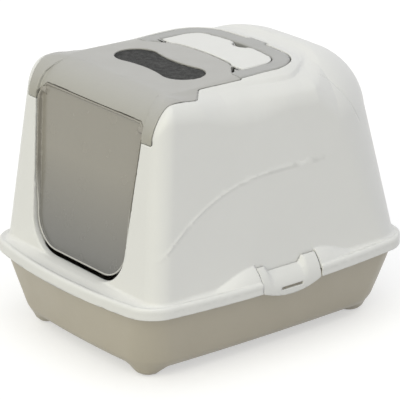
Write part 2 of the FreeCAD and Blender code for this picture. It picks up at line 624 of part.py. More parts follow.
lip = box(-brow, brow, -FAR, -S["lid_step"], S["brow_height"], S["brow_height"] + S["lid_wall"])
fittings = both_sides(cheek).fuse(lip).common(front_slab(S["cheek_depth"]))
flip_shape = flip_shape.fuse(fittings.common(lid_outer)).cut(doorway)
ear = cylinder_x(S["ear_radius"], S["tongue_half_width"] - S["ear_thickness"], S["tongue_half_width"], HINGE_Y, HINGE_Z)
ear = ear.common(form)
flip_shape = flip_shape.fuse(both_sides(ear))
flip_shape = flip_shape.cut(cylinder_x(S["pin_radius"] + S["pin_clearance"], -FAR, FAR, HINGE_Y, HINGE_Z))

flap_y = S["flap_recess"] - front_wall(S["flap_pivot"])
flip_shape = flip_shape.cut(cylinder_x(S["flap_pin_radius"] + S["pin_clearance"], -FAR, FAR, flap_y, S["flap_pivot"]))


def peanut_radius():
    """Radius of the waist arcs that touch both lobes."""
    lobe = S["filter_lobe"]
    waist = S["filter_waist"]
    return (S["filter_spacing"] ** 2 + waist ** 2 - lobe ** 2) / (2 * (lobe - waist))


def peanut(grow, bottom, height):
    """Two round lobes joined by a waist, in front of the middle."""
    centre_y = -S["filter_forward"]
    lobe = S["filter_lobe"] + grow
    waist = S["filter_waist"] + grow
    curve = peanut_radius() - grow
    waist_centre = waist + curve
    lean = math.atan2(waist_centre, S["filter_spacing"])
    touch_x = S["filter_spacing"] - lobe * math.cos(lean)
    touch_y = lobe * math.sin(lean)
    tip = S["filter_spacing"] + lobe

    def at(x, y):
        return Vector(x, centre_y + y, bottom)

    arcs = [Part.Arc(at(touch_x, -touch_y), at(tip, 0), at(touch_x, touch_y)),
            Part.Arc(at(touch_x, touch_y), at(0, waist), at(-touch_x, touch_y)),
            Part.Arc(at(-touch_x, touch_y), at(-tip, 0), at(-touch_x, -touch_y)),
            Part.Arc(at(-touch_x, -touch_y), at(0, -waist), at(touch_x, -touch_y))]
    return Part.Face(Part.Wire([arc.toShape() for arc in arcs])).extrude(Vector(0, 0, height))


lid_under = TOP - S["lid_wall"]
flip_shape = flip_shape.cut(peanut(0, lid_under - S["overrun"], 2 * S["overrun"] + S["lid_wall"])).removeSplitter()

# Filter pad and its slotted holder.
pad_bottom = lid_under - S["filter_thickness"]
pad_shape = peanut(S["filter_seat"], pad_bottom, S["filter_thickness"])
holder_inside = S["filter_seat"] + S["filter_gap"]
holder_shape = peanut(holder_inside + S["holder_wall"], pad_bottom - S["holder_wall"],
                      S["filter_thickness"] + S["holder_wall"])
holder_shape = holder_shape.cut(peanut(holder_inside, pad_bottom, S["filter_thickness"]))
slot_count = int((S["filter_spacing"] + S["filter_lobe"]) // S["holder_pitch"])
for index in range(-slot_count, slot_count + 1):
    x = index * S["holder_pitch"]
    holder_shape = holder_shape.cut(box(x - S["holder_slot"] / 2, x + S["holder_slot"] / 2,
                                        -S["filter_forward"] - S["holder_slot_half"],
                                        -S["filter_forward"] + S["holder_slot_half"],
                                        pad_bottom - 2 * S["holder_wall"], pad_bottom))

# Handle with its pin holes.
handle_low = TOP - S["handle_thickness"]
handle_shape = handle_plan(0, handle_low, S["handle_thickness"]).common(form)
bore = cylinder_x(S["pin_radius"] + S["pin_clearance"], S["handle_root"] - clear,
                  S["handle_root"] + S["handle_bore"], HINGE_Y, HINGE_Z)
handle_shape = handle_shape.cut(both_sides(bore)).removeSplitter()


# Right latch: plate in the skirt's surface with two horns, a dip, a finger slot and pins.
def latch_plate():
    low = S["rim_height"]
    half = S["latch_half_length"]
    points = [(half, low), (half, S["horn_height"]), (S["horn_outer"], S["horn_height"])]
    dip = S["dip_half_length"]
    edges = []
    for sign in (1, -1):
        corners = [Vector(0, sign * y, z) for y, z in points]
        edges += Part.makePolygon(corners).Edges
        bend = (S["horn_outer"] + dip) / 2
        curve = Part.BezierCurve()
        curve.setPoles([corners[-1], Vector(0, sign * bend, S["horn_height"]),
                        Vector(0, sign * bend, S["dip_height"]), Vector(0, sign * dip, S["dip_height"])])
        edges.append(curve.toShape())
    edges.append(Part.makeLine(Vector(0, dip, S["dip_height"]), Vector(0, -dip, S["dip_height"])))
    edges.append(Part.Arc(Vector(0, half, low), Vector(0, 0, low - S["latch_droop"]), Vector(0, -half, low)).toShape())
    profile = Part.Face(Part.Wire(Part.__sortEdges__(edges))).extrude(Vector(FAR, 0, 0))
    bottom = low - S["overrun"]
    draft = S["hump_draft"]
    thick = S["latch_thickness"]
    band = Part.makeLoft([rim_outline(0, bottom), rim_outline(draft, S["hump_height"])], True, True)
    hollow = Part.makeLoft([rim_outline(thick, bottom), rim_outline(thick + draft, S["hump_height"])], True, True)
    return band.cut(hollow).common(profile)


slot_low = S["rim_height"] - S["latch_droop"] + S["latch_slot_rise"]
slot = box(0, FAR, -S["latch_slot_half"], S["latch_slot_half"], slot_low, slot_low + S["latch_slot_height"])
right_shape = latch_plate().cut(slot).fuse(latch_pins(S["pin_radius"], bay_wall - S["rest_gap"])).removeSplitter()


# Swing flap, drawn upright about its pivot and then leaned back with the front.
def flap_plate(inset, y0, y1):
    lean = math.cos(math.radians(FRONT_LEAN))
    drop = S["flap_pivot"] - S["entrance_bottom"]
    margin = S["flap_gap"] + inset
    bottom = S["flap_sill_gap"] + inset - drop / lean
    half_low = S["entrance_half_width_low"] - margin
    half_wide = S["entrance_half_width_top"] - margin
    shoulder = S["flap_shoulder"] - inset
    knee = (S["lug_knee"] - S["flap_pivot"]) / lean
    points = [Vector(-half_low, y0, bottom), Vector(half_low, y0, bottom), Vector(half_wide, y0, knee),
              Vector(shoulder, y0, S["flap_crown"] - inset), Vector(-shoulder, y0, S["flap_crown"] - inset),
              Vector(-half_wide, y0, knee)]
    plate = prism(points, Vector(0, y1 - y0, 0))
    return rounded_foot(plate, bottom, S["entrance_corner"] - margin)


half_flap = S["flap_thickness"] / 2
lip_front = -half_flap - S["flap_lip_height"]
flap_shape = flap_plate(0, lip_front, half_flap).cut(
    flap_plate(S["flap_lip_width"], lip_front - S["overrun"], -half_flap))
ear_outer = S["entrance_half_width_top"] - S["flap_gap"]
stub = cylinder_x(S["flap_ear_radius"], ear_outer - S["flap_ear_length"], ear_outer, 0, 0)
stub = stub.fuse(cylinder_x(S["flap_pin_radius"], ear_outer, half_top + S["lid_wall"], 0, 0))
flap_shape = flap_shape.fuse(both_sides(stub)).removeSplitter()

tilt = FreeCAD.Rotation(Vector(1, 0, 0), -FRONT_LEAN)
hung = FreeCAD.Placement(Vector(0, flap_y, S["flap_pivot"]), tilt)
PIECES = (
    ("tray", tray_shape, FreeCAD.Placement()),
    ("hood", hood_shape, FreeCAD.Placement()),
    ("flip_top", flip_shape, FreeCAD.Placement()),
    ("entry_flap", flap_shape, hung),
    ("filter_pad", pad_shape, FreeCAD.Placement()),
    ("filter_holder", holder_shape, FreeCAD.Placement()),
    ("handle", handle_shape, FreeCAD.Placement()),
    ("right_latch", right_shape, FreeCAD.Placement()),
    ("left_latch", mirrored(right_shape), FreeCAD.Placement()),
)
subparts = []
for label, shape, placement in PIECES:
    piece = doc.addObject("Part::Feature", label)
    piece.Label = label
    piece.Shape = shape
    piece.Placement = placement
    subparts.append(piece)
doc.recompute()

for item in doc.Objects:
    if "Invalid" in item.State or "Error" in item.State:
        raise RuntimeError(f"{item.Label} failed: {item.State}")
for piece in subparts:
    if piece.Shape.isNull() or not piece.Shape.isValid():
        raise RuntimeError(f"{piece.Label} has no valid shape")

os.makedirs("parts", exist_ok=True)
for piece in subparts:
    piece.Shape.exportStep(f"parts/{piece.Label}.step")
    bounds = piece.Shape.optimalBoundingBox()
    print(piece.Label, len(piece.Shape.Solids), round(piece.Shape.Volume), bounds)
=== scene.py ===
import functools
import math

import bpy
import numpy as np
import openvdb
from mathutils import Matrix, Vector


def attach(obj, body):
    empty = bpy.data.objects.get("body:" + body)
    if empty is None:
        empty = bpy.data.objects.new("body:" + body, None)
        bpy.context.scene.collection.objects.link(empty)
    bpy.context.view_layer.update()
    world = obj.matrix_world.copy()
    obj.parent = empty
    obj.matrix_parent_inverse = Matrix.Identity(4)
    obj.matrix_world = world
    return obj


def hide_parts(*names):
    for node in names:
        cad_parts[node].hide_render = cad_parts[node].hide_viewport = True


# A covered litter box. Every moulded piece is drawn as a solid field, negative inside, and then
# turned into a smooth mesh. Lengths are in millimetres, and the meshes are in metres.
# The entrance faces -y, x runs across the box and z up from the floor.

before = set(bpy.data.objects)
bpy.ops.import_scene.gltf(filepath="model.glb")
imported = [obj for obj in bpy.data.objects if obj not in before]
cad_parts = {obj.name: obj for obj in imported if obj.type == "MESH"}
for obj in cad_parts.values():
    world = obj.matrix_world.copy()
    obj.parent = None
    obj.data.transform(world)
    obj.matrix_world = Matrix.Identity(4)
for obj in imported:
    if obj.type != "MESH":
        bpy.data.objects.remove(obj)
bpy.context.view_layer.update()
MM = 0.001

# Heights that several pieces share.
RIM, LEDGE, DECK = 105.0, 116.0, 385.0
LUG_END, BROW, PIVOT = 331.0, 354.5, 343.0

# Walls of the hood: how they lean in, and where they stand at the rim.
SIDE_LEAN, FRONT_LEAN, BACK_LEAN = (math.radians(angle) for angle in (5.2, 6.5, 5.5))
WALL_SIDE, WALL_FRONT, WALL_BACK = 180.5, 220.0, 244.0
HOOD_THICK, SKIRT_THICK = 3.0, 2.8

# Hinge axis of the flip top and the handle, and of the flap behind the front wall.
HINGE_Y, HINGE_Z = -4.0, 382.0
FLAP_SET_BACK = 11.0
FLAP_Y = FLAP_SET_BACK - (WALL_FRONT - (PIVOT - RIM) * math.tan(FRONT_LEAN))

# Middle of the latches and of the dip in their upper edge, along y.
LATCH_BACK, DIP_BACK = 4.0, -1.0

# Cosine of a slope of 45 degrees, for the chamfers above the flap.
DIAGONAL = 0.7071


# Ways to join and round solid fields.

def both(*fields):
    """What lies in all the fields, with sharp edges."""
    return functools.reduce(np.maximum, fields)


def either(*fields):
    """What lies in any of the fields, with sharp corners."""
    return functools.reduce(np.minimum, fields)


def round_both(a, b, r):
    """What lies in both fields, with a rounded edge."""
    return np.minimum(np.maximum(a, b), -r) + np.hypot(np.maximum(a + r, 0), np.maximum(b + r, 0))


def round_join(a, b, r):
    """What lies in either field, with a filleted corner."""
    return -round_both(-a, -b, r)


def cut_out(a, b, r):
    """What lies in the first field and outside the second, with a rounded edge."""
    return round_both(a, -b, r)


def slab(v, low, high):
    """What lies between two planes."""
    return np.maximum(low - v, v - high)


def ease(t):
    """Smooth step from 0 to 1."""
    t = np.clip(t, 0, 1)
    return t * t * (3 - 2 * t)


def follow(table, at):
    """Value between the rows of a table of places and values."""
    return np.interp(at, *zip(*table))


# Forms that several pieces share.

# Skirt seen from above: half width, half length and corner radius, and how far its sides bow.
SKIRT_WIDE, SKIRT_LONG, SKIRT_CORNER = 198.0, 250.0, 32.0
SKIRT_SIDE_BOW, SKIRT_END_BOW = 21.0, 24.6


def rim_plan(x, y):
    """Outline of the skirt seen from above, with bowed sides."""
    side = np.abs(x) - (SKIRT_WIDE - SKIRT_SIDE_BOW * (y / SKIRT_LONG) ** 2)
    end = np.abs(y) - (SKIRT_LONG - SKIRT_END_BOW * (x / SKIRT_WIDE) ** 2)
    return round_both(side, end, SKIRT_CORNER)


# Half width, reach to the back and corner radius of the handle's two edges.
HANDLE_OUTER, HANDLE_INNER = (114.0, 99.0, 46.0), (90.5, 75.5, 22.5)
ARM_BOW, BAR_BOW = 3.0, 12.0


def handle_edge(x, y, half, reach, corner):
    """One edge of the handle seen from above, with bowed arms and rear bar."""
    side = np.abs(x) - (half - ARM_BOW * (y / reach) ** 2)
    end = y - (reach - BAR_BOW * (x / half) ** 2)
    return round_both(side, end, corner)


# Bow of the hood's walls seen from above, and the radii of its upright corners.
SIDE_BOW, SIDE_BOW_GROWTH, FRONT_BOW, BACK_BOW, BOW_HALF = 3.0, 2.0, 3.0, 12.0, 170.0
FRONT_CORNER, REAR_CORNER, REAR_CORNER_GROWTH, GROWTH_END_SHARE = 26.0, 46.0, 84.0, 0.714
# Radius of the hood's upper edge along the sides, by place along y, and at the front.
SIDE_SHOULDER = ((-160, 28), (-116, 34), (-95, 42), (-73, 49), (-28, 52), (27, 44), (78, 48), (115, 80))
FRONT_SHOULDER, SHOULDER_BLEND = 48.0, 40.0
# Sunken strip beside the handle, by place along y: its fall, its step down and where that lies.
STRIP_FALL = ((-150, 0), (-116, 0.176), (-95, 0.336), (-73, 0.462), (-28, 0.44), (27, 0.42),
              (60, 0.42), (90, 0.294), (115, 0.126), (140, 0))
STRIP_STEP = ((-60, 0), (-34, 1.6), (-4, 3.2), (20, 4.5), (60, 5), (90, 4), (115, 1.8), (130, 0))
STEP_OUT = ((-30, 4), (0, 8.5), (24, 11), (49, 12), (85, 9.5), (110, 16), (126, 25))
STRIP_GAP, STEP_WIDTH = 3.0, 6.0
STRIP_ROUND, ROUND_WIDTH, ROUND_FALL = 6.0, 14.0, 0.13


def leaning_wall(out, place, bow, z, lean):
    """Distance outside a wall that leans in above the rim."""
    return (out - (place - (z - RIM) * math.tan(lean) - bow)) * math.cos(lean)


def hood_form(x, y, z):
    """Closed outer form of the hood, from the rim to the deck."""
    up = (z - RIM) / (DECK - RIM)
    front_half, rear_half = (y / WALL_FRONT) ** 2, (y / WALL_BACK) ** 2
    side_bow = np.where(y < 0, SIDE_BOW * front_half, (SIDE_BOW + SIDE_BOW_GROWTH * up) * rear_half)
    side = leaning_wall(np.abs(x), WALL_SIDE, side_bow, z, SIDE_LEAN)
    back = leaning_wall(y, WALL_BACK, BACK_BOW * (x / BOW_HALF) ** 2, z, BACK_LEAN)
    front = leaning_wall(-y, WALL_FRONT, FRONT_BOW * (x / BOW_HALF) ** 2, z, FRONT_LEAN)
    walls = round_both(side, back, REAR_CORNER + REAR_CORNER_GROWTH * np.clip(up, 0, GROWTH_END_SHARE))
    shoulder = follow(SIDE_SHOULDER, y)
    shoulder = shoulder + (FRONT_SHOULDER - shoulder) * ease((front - walls) / SHOULDER_BLEND + 0.5)
    body = round_both(round_both(walls, front, FRONT_CORNER), z - DECK, shoulder)
    # Beside the handle the deck falls away, steps down and runs out to the ridge along the side.
    out = np.maximum(handle_edge(x, y, *HANDLE_OUTER) - STRIP_GAP, 0)
    fall = follow(STRIP_FALL, y)
    step = follow(STRIP_STEP, y) * ease((out - follow(STEP_OUT, y)) / STEP_WIDTH)
    strip = (z - DECK + fall * out + step) / np.hypot(1, fall)
    return round_both(body, strip, STRIP_ROUND * ease(out / ROUND_WIDTH) * ease(fall / ROUND_FALL))


def front_depth(y, z):
    """Distance behind the front wall's plane."""
    return (y + WALL_FRONT - (z - RIM) * math.tan(FRONT_LEAN)) * math.cos(FRONT_LEAN)


# Latch housing: its upper edge along y, the dip in that edge and the roll of its side.
HOUSING_END, HOUSING_RISE, HOUSING_FLAT, HOUSING_SLOPE = 121.0, 18.5, 56.0, 88.0
DIP_DEPTH, DIP_FLAT, DIP_SLOPE = 9.5, 25.0, 11.0
ROLL, ROLL_FOOT, ROLL_TALL, ROLL_END_SHARE, HOUSING_CAP = 46.0, 103.4, 36.5, 0.98, 155.0


def housing_form(x, y, z):
    """Swelling of the skirt that holds a latch; its side rolls in to the hood wall."""
    top = HOUSING_END + HOUSING_RISE * (1 - ease((np.abs(y - LATCH_BACK) - HOUSING_FLAT) / HOUSING_SLOPE))
    top = top - DIP_DEPTH * (1 - ease((np.abs(y - DIP_BACK) - DIP_FLAT) / DIP_SLOPE))
    tall = ROLL * (top - ROLL_FOOT) / ROLL_TALL
    rise = np.clip((z - ROLL_FOOT) / tall, 0, ROLL_END_SHARE)
    slope = ROLL * rise / (tall * np.sqrt(1 - rise ** 2))
    rolled = (rim_plan(x, y) + ROLL * (1 - np.sqrt(1 - rise ** 2))) / np.hypot(1, slope)
    return np.maximum(rolled, z - HOUSING_CAP)


# Entrance: half width at its foot, how much wider it gets over its height, and the slope's cosine.
DOOR_HALF, DOOR_FOOT, DOOR_FLARE, DOOR_TALL, DOOR_SLANT = 100.0, 123.0, 19.0, 208.0, 0.9959
DOOR_SILL, DOOR_CORNER = 123.8, 46.0


def entrance(x, z):
    """Outline of the entrance in the front wall."""
    side = (np.abs(x) - (DOOR_HALF + DOOR_FLARE * (z - DOOR_FOOT) / DOOR_TALL)) * DOOR_SLANT
    return round_both(side, DOOR_SILL - z, DOOR_CORNER)


# Flip top seen from above: a wide front, a deck and a tongue at the back with slanting edges.
LID_HALF, LID_SHOULDER_Y, LID_SHOULDER_HALF, LID_SHOULDER_FALL = 137.9, -97.5, 118.0, 0.9
LID_SHOULDER_SLANT = 0.743
LID_DECK_HALF, LID_DECK_BACK = 116.9, -23.5
TONGUE_HALF, TONGUE_FALL, TONGUE_SLANT = 98.0, 0.74, 0.804
TONGUE_BACK, TONGUE_CROWN, TONGUE_CROWN_HALF, TONGUE_GAP_SHARE = 1.0, 8.0, 71.4, 3.0
LID_ROUND, LID_DECK_ROUND, TONGUE_ROUND, TONGUE_FILLET = 2.5, 2.0, 3.0, 1.5


def lid_slant(x, y):
    """Slanting edges that lead from the lid's deck to its rear tongue."""
    return (y - LID_DECK_BACK + TONGUE_FALL * (np.abs(x) - TONGUE_HALF)) * TONGUE_SLANT


def lid_plan(x, y, grow):
    """Outline of the flip top seen from above, or of the seat round it."""
    ax = np.abs(x)
    shoulder = y - LID_SHOULDER_Y + LID_SHOULDER_FALL * (ax - LID_SHOULDER_HALF)
    wide = round_both(ax - LID_HALF - grow, shoulder * LID_SHOULDER_SLANT - grow, LID_ROUND)
    deck = round_both(ax - LID_DECK_HALF - grow, y - LID_DECK_BACK - grow, LID_DECK_ROUND)
    crown = TONGUE_BACK + TONGUE_CROWN * (1 - (x / TONGUE_CROWN_HALF) ** 2)
    tongue = round_both(lid_slant(x, y) - grow, y - crown - TONGUE_GAP_SHARE * grow, TONGUE_ROUND)
    tongue = both(tongue, ax - TONGUE_HALF)
    return round_join(round_join(wide, deck, LID_ROUND), tongue, TONGUE_FILLET)


# Front end of the handle's arms, their roots beside the flip top and the thumb tab.
ARM_FRONT, ARM_ROUND = -22.2, 1.0
ROOT_IN, ROOT_OUT, ROOT_BACK, ROOT_GAP = 79.0, 104.0, 1.0, 3.6
TAB_HALF, TAB_FRONT, TAB_BACK, TAB_ROUND = 18.0, 88.0, 106.0, 3.0


def handle_plan(x, y, grow):
    """The handle seen from above: two arms with wider roots, a rear bar and its thumb tab."""
    ax = np.abs(x)
    outer, inner = handle_edge(x, y, *HANDLE_OUTER), handle_edge(x, y, *HANDLE_INNER)
    bar = both(round_both(outer - grow, -inner - grow, ARM_ROUND), ARM_FRONT - grow - y)
    root = both(slab(ax, ROOT_IN - grow, ROOT_OUT), slab(y, ARM_FRONT - grow, ROOT_BACK + grow),
                ROOT_GAP - grow - lid_slant(x, y))
    tab = round_both(ax - TAB_HALF - grow, slab(y, TAB_FRONT, TAB_BACK + grow), TAB_ROUND)
    return either(bar, root, tab)


# Filter window: its middle along y, its two lobes and the waist between them.
FILTER_Y, LOBE_OUT, LOBE, WAIST = -70.0, 51.5, 30.5, 24.0


def filter_plan(x, y):
    """Two round lobes joined by a waist."""
    ax, ay = np.abs(x), np.abs(y - FILTER_Y)
    curve = (LOBE_OUT ** 2 + WAIST ** 2 - LOBE ** 2) / (2 * (LOBE - WAIST))
    lobe = np.hypot(ax - LOBE_OUT, ay) - LOBE
    waist = curve - np.hypot(ax, ay - WAIST - curve)
    in_waist = ax * (WAIST + curve) < LOBE_OUT * (WAIST + curve - ay)
    return np.where(in_waist & (ax < LOBE_OUT), waist, lobe)


# Hood.

# Skirt's ledge, bead and roundings.
SKIRT_LEDGE, SKIRT_LEDGE_RISE, SKIRT_LEDGE_DEEP = 119.0, 3.0, 30.0
SKIRT_ROUND, SKIRT_LOWER_ROUND = 5.0, 1.8
BEAD, BEAD_Z, BEAD_FILLET, HOUSING_FILLET = 4.2, 117.6, 2.0, 1.0


def skirted(form, rim, housing, z):
    """Hood with its skirt: upright band, bead, latch housings and a ledge that rises to the wall."""
    ledge = SKIRT_LEDGE + SKIRT_LEDGE_RISE * np.clip(-rim / SKIRT_LEDGE_DEEP, 0, 1)
    skirt = round_both(rim, z - ledge, SKIRT_ROUND)
    skirt = round_join(skirt, np.hypot(rim + BEAD, z - BEAD_Z) - BEAD, BEAD_FILLET)
    shell = round_join(round_join(form, skirt, SKIRT_ROUND), housing, HOUSING_FILLET)
    return round_both(shell, RIM - z, SKIRT_LOWER_ROUND)


# Line that sweeps up each side: one smooth curve through places along y and heights.
SWEEP_POINTS = ((-205, 176), (-175, 203), (-142, 228), (-92, 250), (-58, 259.5), (-24, 263),
                (28, 263.5), (81, 264), (110, 266))
SWEEP = np.polyfit(*zip(*SWEEP_POINTS), 5)
# Size of the raised line, and where it fades out.
SWEEP_HIGH, SWEEP_WIDE = 0.9, 2.2
SWEEP_START, SWEEP_START_FADE, SWEEP_END, SWEEP_END_FADE = -212.0, 30.0, 112.0, 60.0
SWEEP_IN, SWEEP_IN_FADE = 140.0, 10.0


def sweep_line(x, y, z):
    """Height of the thin raised line that sweeps up each side."""
    off = (z - np.polyval(SWEEP, y)) / np.hypot(1, np.polyval(np.polyder(SWEEP), y))
    fade = ease((y - SWEEP_START) / SWEEP_START_FADE) * ease((SWEEP_END - y) / SWEEP_END_FADE)
    return SWEEP_HIGH * np.exp(-(off / SWEEP_WIDE) ** 2) * fade * ease((np.abs(x) - SWEEP_IN) / SWEEP_IN_FADE)


# Groove down each rear shoulder: heights and places along y.
GROOVE = ((290, 163), (297, 159), (332, 137), (360, 116), (375, 90))
# Size of the groove, and where it fades out.
GROOVE_DEEP, GROOVE_WIDE = 0.8, 1.4
GROOVE_FOOT, GROOVE_FOOT_FADE, GROOVE_HEAD, GROOVE_HEAD_FADE = 288.0, 14.0, 376.0, 12.0
GROOVE_IN, GROOVE_IN_FADE = 118.0, 8.0


def rear_groove(x, y, z):
    """Depth of the fine groove down each rear shoulder."""
    off = y - follow(GROOVE, z)
    fade = ease((z - GROOVE_FOOT) / GROOVE_FOOT_FADE) * ease((GROOVE_HEAD - z) / GROOVE_HEAD_FADE)
    fade = fade * ease((np.abs(x) - GROOVE_IN) / GROOVE_IN_FADE)
    return GROOVE_DEEP * np.exp(-(off / GROOVE_WIDE) ** 2) * fade


# A height under the rim, the bays of the latches and the roundings of the hollows.
BELOW_RIM = 90.0
BAY_FRONT, BAY_BACK, BAY_HEAD, BAY_WALLED = -51.9, 52.7, 150.0, 55.5
HOLLOW_ROUND, SKIRT_HOLLOW_ROUND, HOUSING_HOLLOW_ROUND = 0.8, 0.5, 0.3


def hollowed(shell, form, rim, housing, x, y, z):
    """Hood hollowed under its walls, skirt and latch housings, with an open bay for each latch."""
    cavity = hood_form(x, y, np.maximum(z, BELOW_RIM)) + HOOD_THICK
    shell = cut_out(shell, cavity, HOLLOW_ROUND)
    shell = cut_out(shell, both(rim + SKIRT_THICK, z - LEDGE), SKIRT_HOLLOW_ROUND)
    along = y - LATCH_BACK
    beside = both(housing + SKIRT_THICK, -form, BAY_WALLED - np.abs(along))
    shell = cut_out(shell, beside, HOUSING_HOLLOW_ROUND)
    bay = both(-form, slab(along, BAY_FRONT, BAY_BACK), slab(z, BELOW_RIM, BAY_HEAD))
    return both(shell, -bay)


# Return round the entrance, which is less deep near the sill, and the cut through it.
RETURN_DEEP, RETURN_RISE, RETURN_LOW, RETURN_LOW_FADE = 17.0, 7.0, 142.0, 12.0
RETURN_THICK, RETURN_HEAD_GAP, DOOR_CUT_BACK, DOOR_ROUND = 2.5, 1.0, -71.0, 1.6


def with_entrance(shell, form, x, y, z):
    """Hood with its entrance, which has a deep return."""
    door = both(entrance(x, z), z - LUG_END)
    deep = RETURN_DEEP - RETURN_RISE * ease((RETURN_LOW - z) / RETURN_LOW_FADE)
    collar = both(door - RETURN_THICK, form, front_depth(y, z) - deep, z - LUG_END + RETURN_HEAD_GAP)
    return cut_out(either(shell, collar), both(door, y - DOOR_CUT_BACK), DOOR_ROUND)


# Opening for the flip top, pockets at its hinge and the band under its edge.
SEAT_GAP, SEAT_FLOOR, SEAT_FRONT, LUG_GAP, SEAT_ROUND = 1.0, 337.0, -96.0, 0.6, 1.1
POCKET_IN, POCKET_FRONT, POCKET_BACK, POCKET_LOW, POCKET_HIGH = 66.0, -26.0, 2.0, -4.0, 6.0
BAND_TOP, BAND_UNDER, BAND_GAP, BAND_IN, BAND_OUT = 2.9, 5.4, 0.7, -7.0, 4.0
BAND_BACK, BAND_HALF, BAND_FOOT = -25.0, 110.0, 335.0


def with_lid_seat(shell, form, x, y, z):
    """Hood with the opening for the flip top, its hinge pockets and the ledge that it rests on."""
    ax = np.abs(x)
    seat_foot = np.where(y < SEAT_FRONT, LUG_END - LUG_GAP - z, SEAT_FLOOR - z)
    seat = both(lid_plan(x, y, SEAT_GAP), seat_foot)
    pocket = both(slab(ax, POCKET_IN, ROOT_OUT), slab(lid_slant(x, y), POCKET_LOW, POCKET_HIGH),
                  slab(y, POCKET_FRONT, POCKET_BACK), SEAT_FLOOR - z)
    band = both(form + BAND_TOP, -(form + BAND_UNDER), slab(lid_plan(x, y, BAND_GAP), BAND_IN, BAND_OUT),
                y - BAND_BACK, BAND_HALF - ax, BAND_FOOT - z)
    return either(cut_out(shell, either(seat, pocket), SEAT_ROUND), band)


# Trough of the handle and the scoop for fingers.
TROUGH_WALL, TROUGH_UNDER, TROUGH_FRONT = 3.5, 371.5, 6.0
TROUGH_GAP, TROUGH_FLOOR, TROUGH_ROUND = 1.6, 374.0, 1.2
SCOOP, SCOOP_WIDE_SHARE, SCOOP_DEEP_SHARE, SCOOP_Y, SCOOP_Z = 17.0, 1.15, 1.5, 78.0, 388.0
SCOOP_BACK, SCOOP_ROUND = 82.0, 1.5


def with_handle_trough(shell, form, x, y, z):
    """Hood with the trough of the handle and the finger scoop in the island."""
    walled = both(handle_plan(x, y, TROUGH_WALL), slab(z, TROUGH_UNDER, DECK), form, TROUGH_FRONT - y)
    shell = either(shell, walled)
    shell = cut_out(shell, both(handle_plan(x, y, TROUGH_GAP), TROUGH_FLOOR - z), TROUGH_ROUND)
    scoop = np.hypot(np.hypot(x / SCOOP_WIDE_SHARE, y - SCOOP_Y), (z - SCOOP_Z) * SCOOP_DEEP_SHARE) - SCOOP
    return cut_out(shell, both(scoop, y - SCOOP_BACK), SCOOP_ROUND)


def hood_field(x, y, z):
    form, rim, housing = hood_form(x, y, z), rim_plan(x, y), housing_form(x, y, z)
    shell = skirted(form, rim, housing, z)
    shell = shell - sweep_line(x, y, z)
    shell = shell + rear_groove(x, y, z)
    shell = hollowed(shell, form, rim, housing, x, y, z)
    shell = with_entrance(shell, form, x, y, z)
    shell = with_lid_seat(shell, form, x, y, z)
    return with_handle_trough(shell, form, x, y, z)


# Flip top and its filter.

# Front panel of the flip top, sunk between its borders.
PANEL_SINK, PANEL_START, PANEL_FADE, PANEL_ROUND, PANEL_ROUND_SHARE = 5.6, -138.0, 52.0, 2.5, 0.5
# Half width of the sunk panel by height.
PANEL_HALF = ((355, 117.5), (366, 116), (378, 108), (384, 102))


def lid_outer(x, y, z):
    """Hood form with the sunk, rounded front panel of the flip top."""
    form = hood_form(x, y, z)
    sink = PANEL_SINK * ease((PANEL_START - y) / PANEL_FADE)
    border = round_both(form, follow(PANEL_HALF, z) - np.abs(x), PANEL_ROUND)
    return round_join(form + sink, border, np.minimum(PANEL_ROUND, PANEL_ROUND_SHARE * sink))


# Flip top: its shell, the lugs beside the flap, the brow over it, the hinge ears and the window.
LID_THICK, LID_INNER_ROUND, LID_EDGE = 2.7, 0.8, 1.1
CHEEK_IN, CHEEK_OUT, CHEEK_DEEP = 119.0, 122.0, 22.0
BROW_LIP_HALF, BROW_LIP_DEEP, LUG_BACK = 108.0, 24.0, -106.0
BROW_CHAMFER, BROW_ROUND, BROW_EDGE, BROW_BACK = 460.0, 2.0, 0.6, -112.0
LID_EAR, LID_EAR_IN, LID_EAR_OUT, FLAP_BORE = 5.0, 65.4, 71.4, 3.1
WINDOW_FOOT, WINDOW_ROUND = 370.0, 0.9


def flip_top_field(x, y, z):
    ax = np.abs(x)
    outer = lid_outer(x, y, z)
    shell = cut_out(outer, outer + LID_THICK, LID_INNER_ROUND)
    shell = round_both(shell, both(lid_plan(x, y, 0), LUG_END - z), LID_EDGE)
    depth = front_depth(y, z)
    cheek = both(slab(ax, CHEEK_IN, CHEEK_OUT), depth - CHEEK_DEEP, outer, LUG_END - z)
    lip = both(ax - BROW_LIP_HALF, slab(z, BROW, BROW + LID_THICK), outer, depth - BROW_LIP_DEEP)
    shell = either(shell, both(either(cheek, lip), y - LUG_BACK))
    door = round_both(z - BROW, (ax + z - BROW_CHAMFER) * DIAGONAL, BROW_ROUND)
    door = round_both(door, ax - CHEEK_IN, BROW_ROUND)
    shell = cut_out(shell, both(door, y - BROW_BACK), BROW_EDGE)
    from_hinge = np.hypot(y - HINGE_Y, z - HINGE_Z)
    shell = either(shell, both(from_hinge - LID_EAR, slab(ax, LID_EAR_IN, LID_EAR_OUT), outer))
    shell = both(shell, FLAP_BORE - np.hypot(y - FLAP_Y, z - PIVOT))
    return cut_out(shell, both(filter_plan(x, y), WINDOW_FOOT - z), WINDOW_ROUND)


# Filter pad, and the slotted basket that holds it.
PAD_FOOT, PAD_HEAD, PAD_BORDER, PAD_ROUND = 375.5, 382.5, 5.0, 1.2
HOLDER_HEAD, HOLDER_BORDER, HOLDER_THICK = 382.4, 5.3, 2.0
SLOT_SPACING, SLOT_HALF, SLOT_HALF_LONG, SLOTS_HALF, SLOT_ROUND = 14.0, 3.5, 15.0, 76.0, 0.4


def filter_pad_field(x, y, z):
    return round_both(filter_plan(x, y) - PAD_BORDER, slab(z, PAD_FOOT, PAD_HEAD), PAD_ROUND)


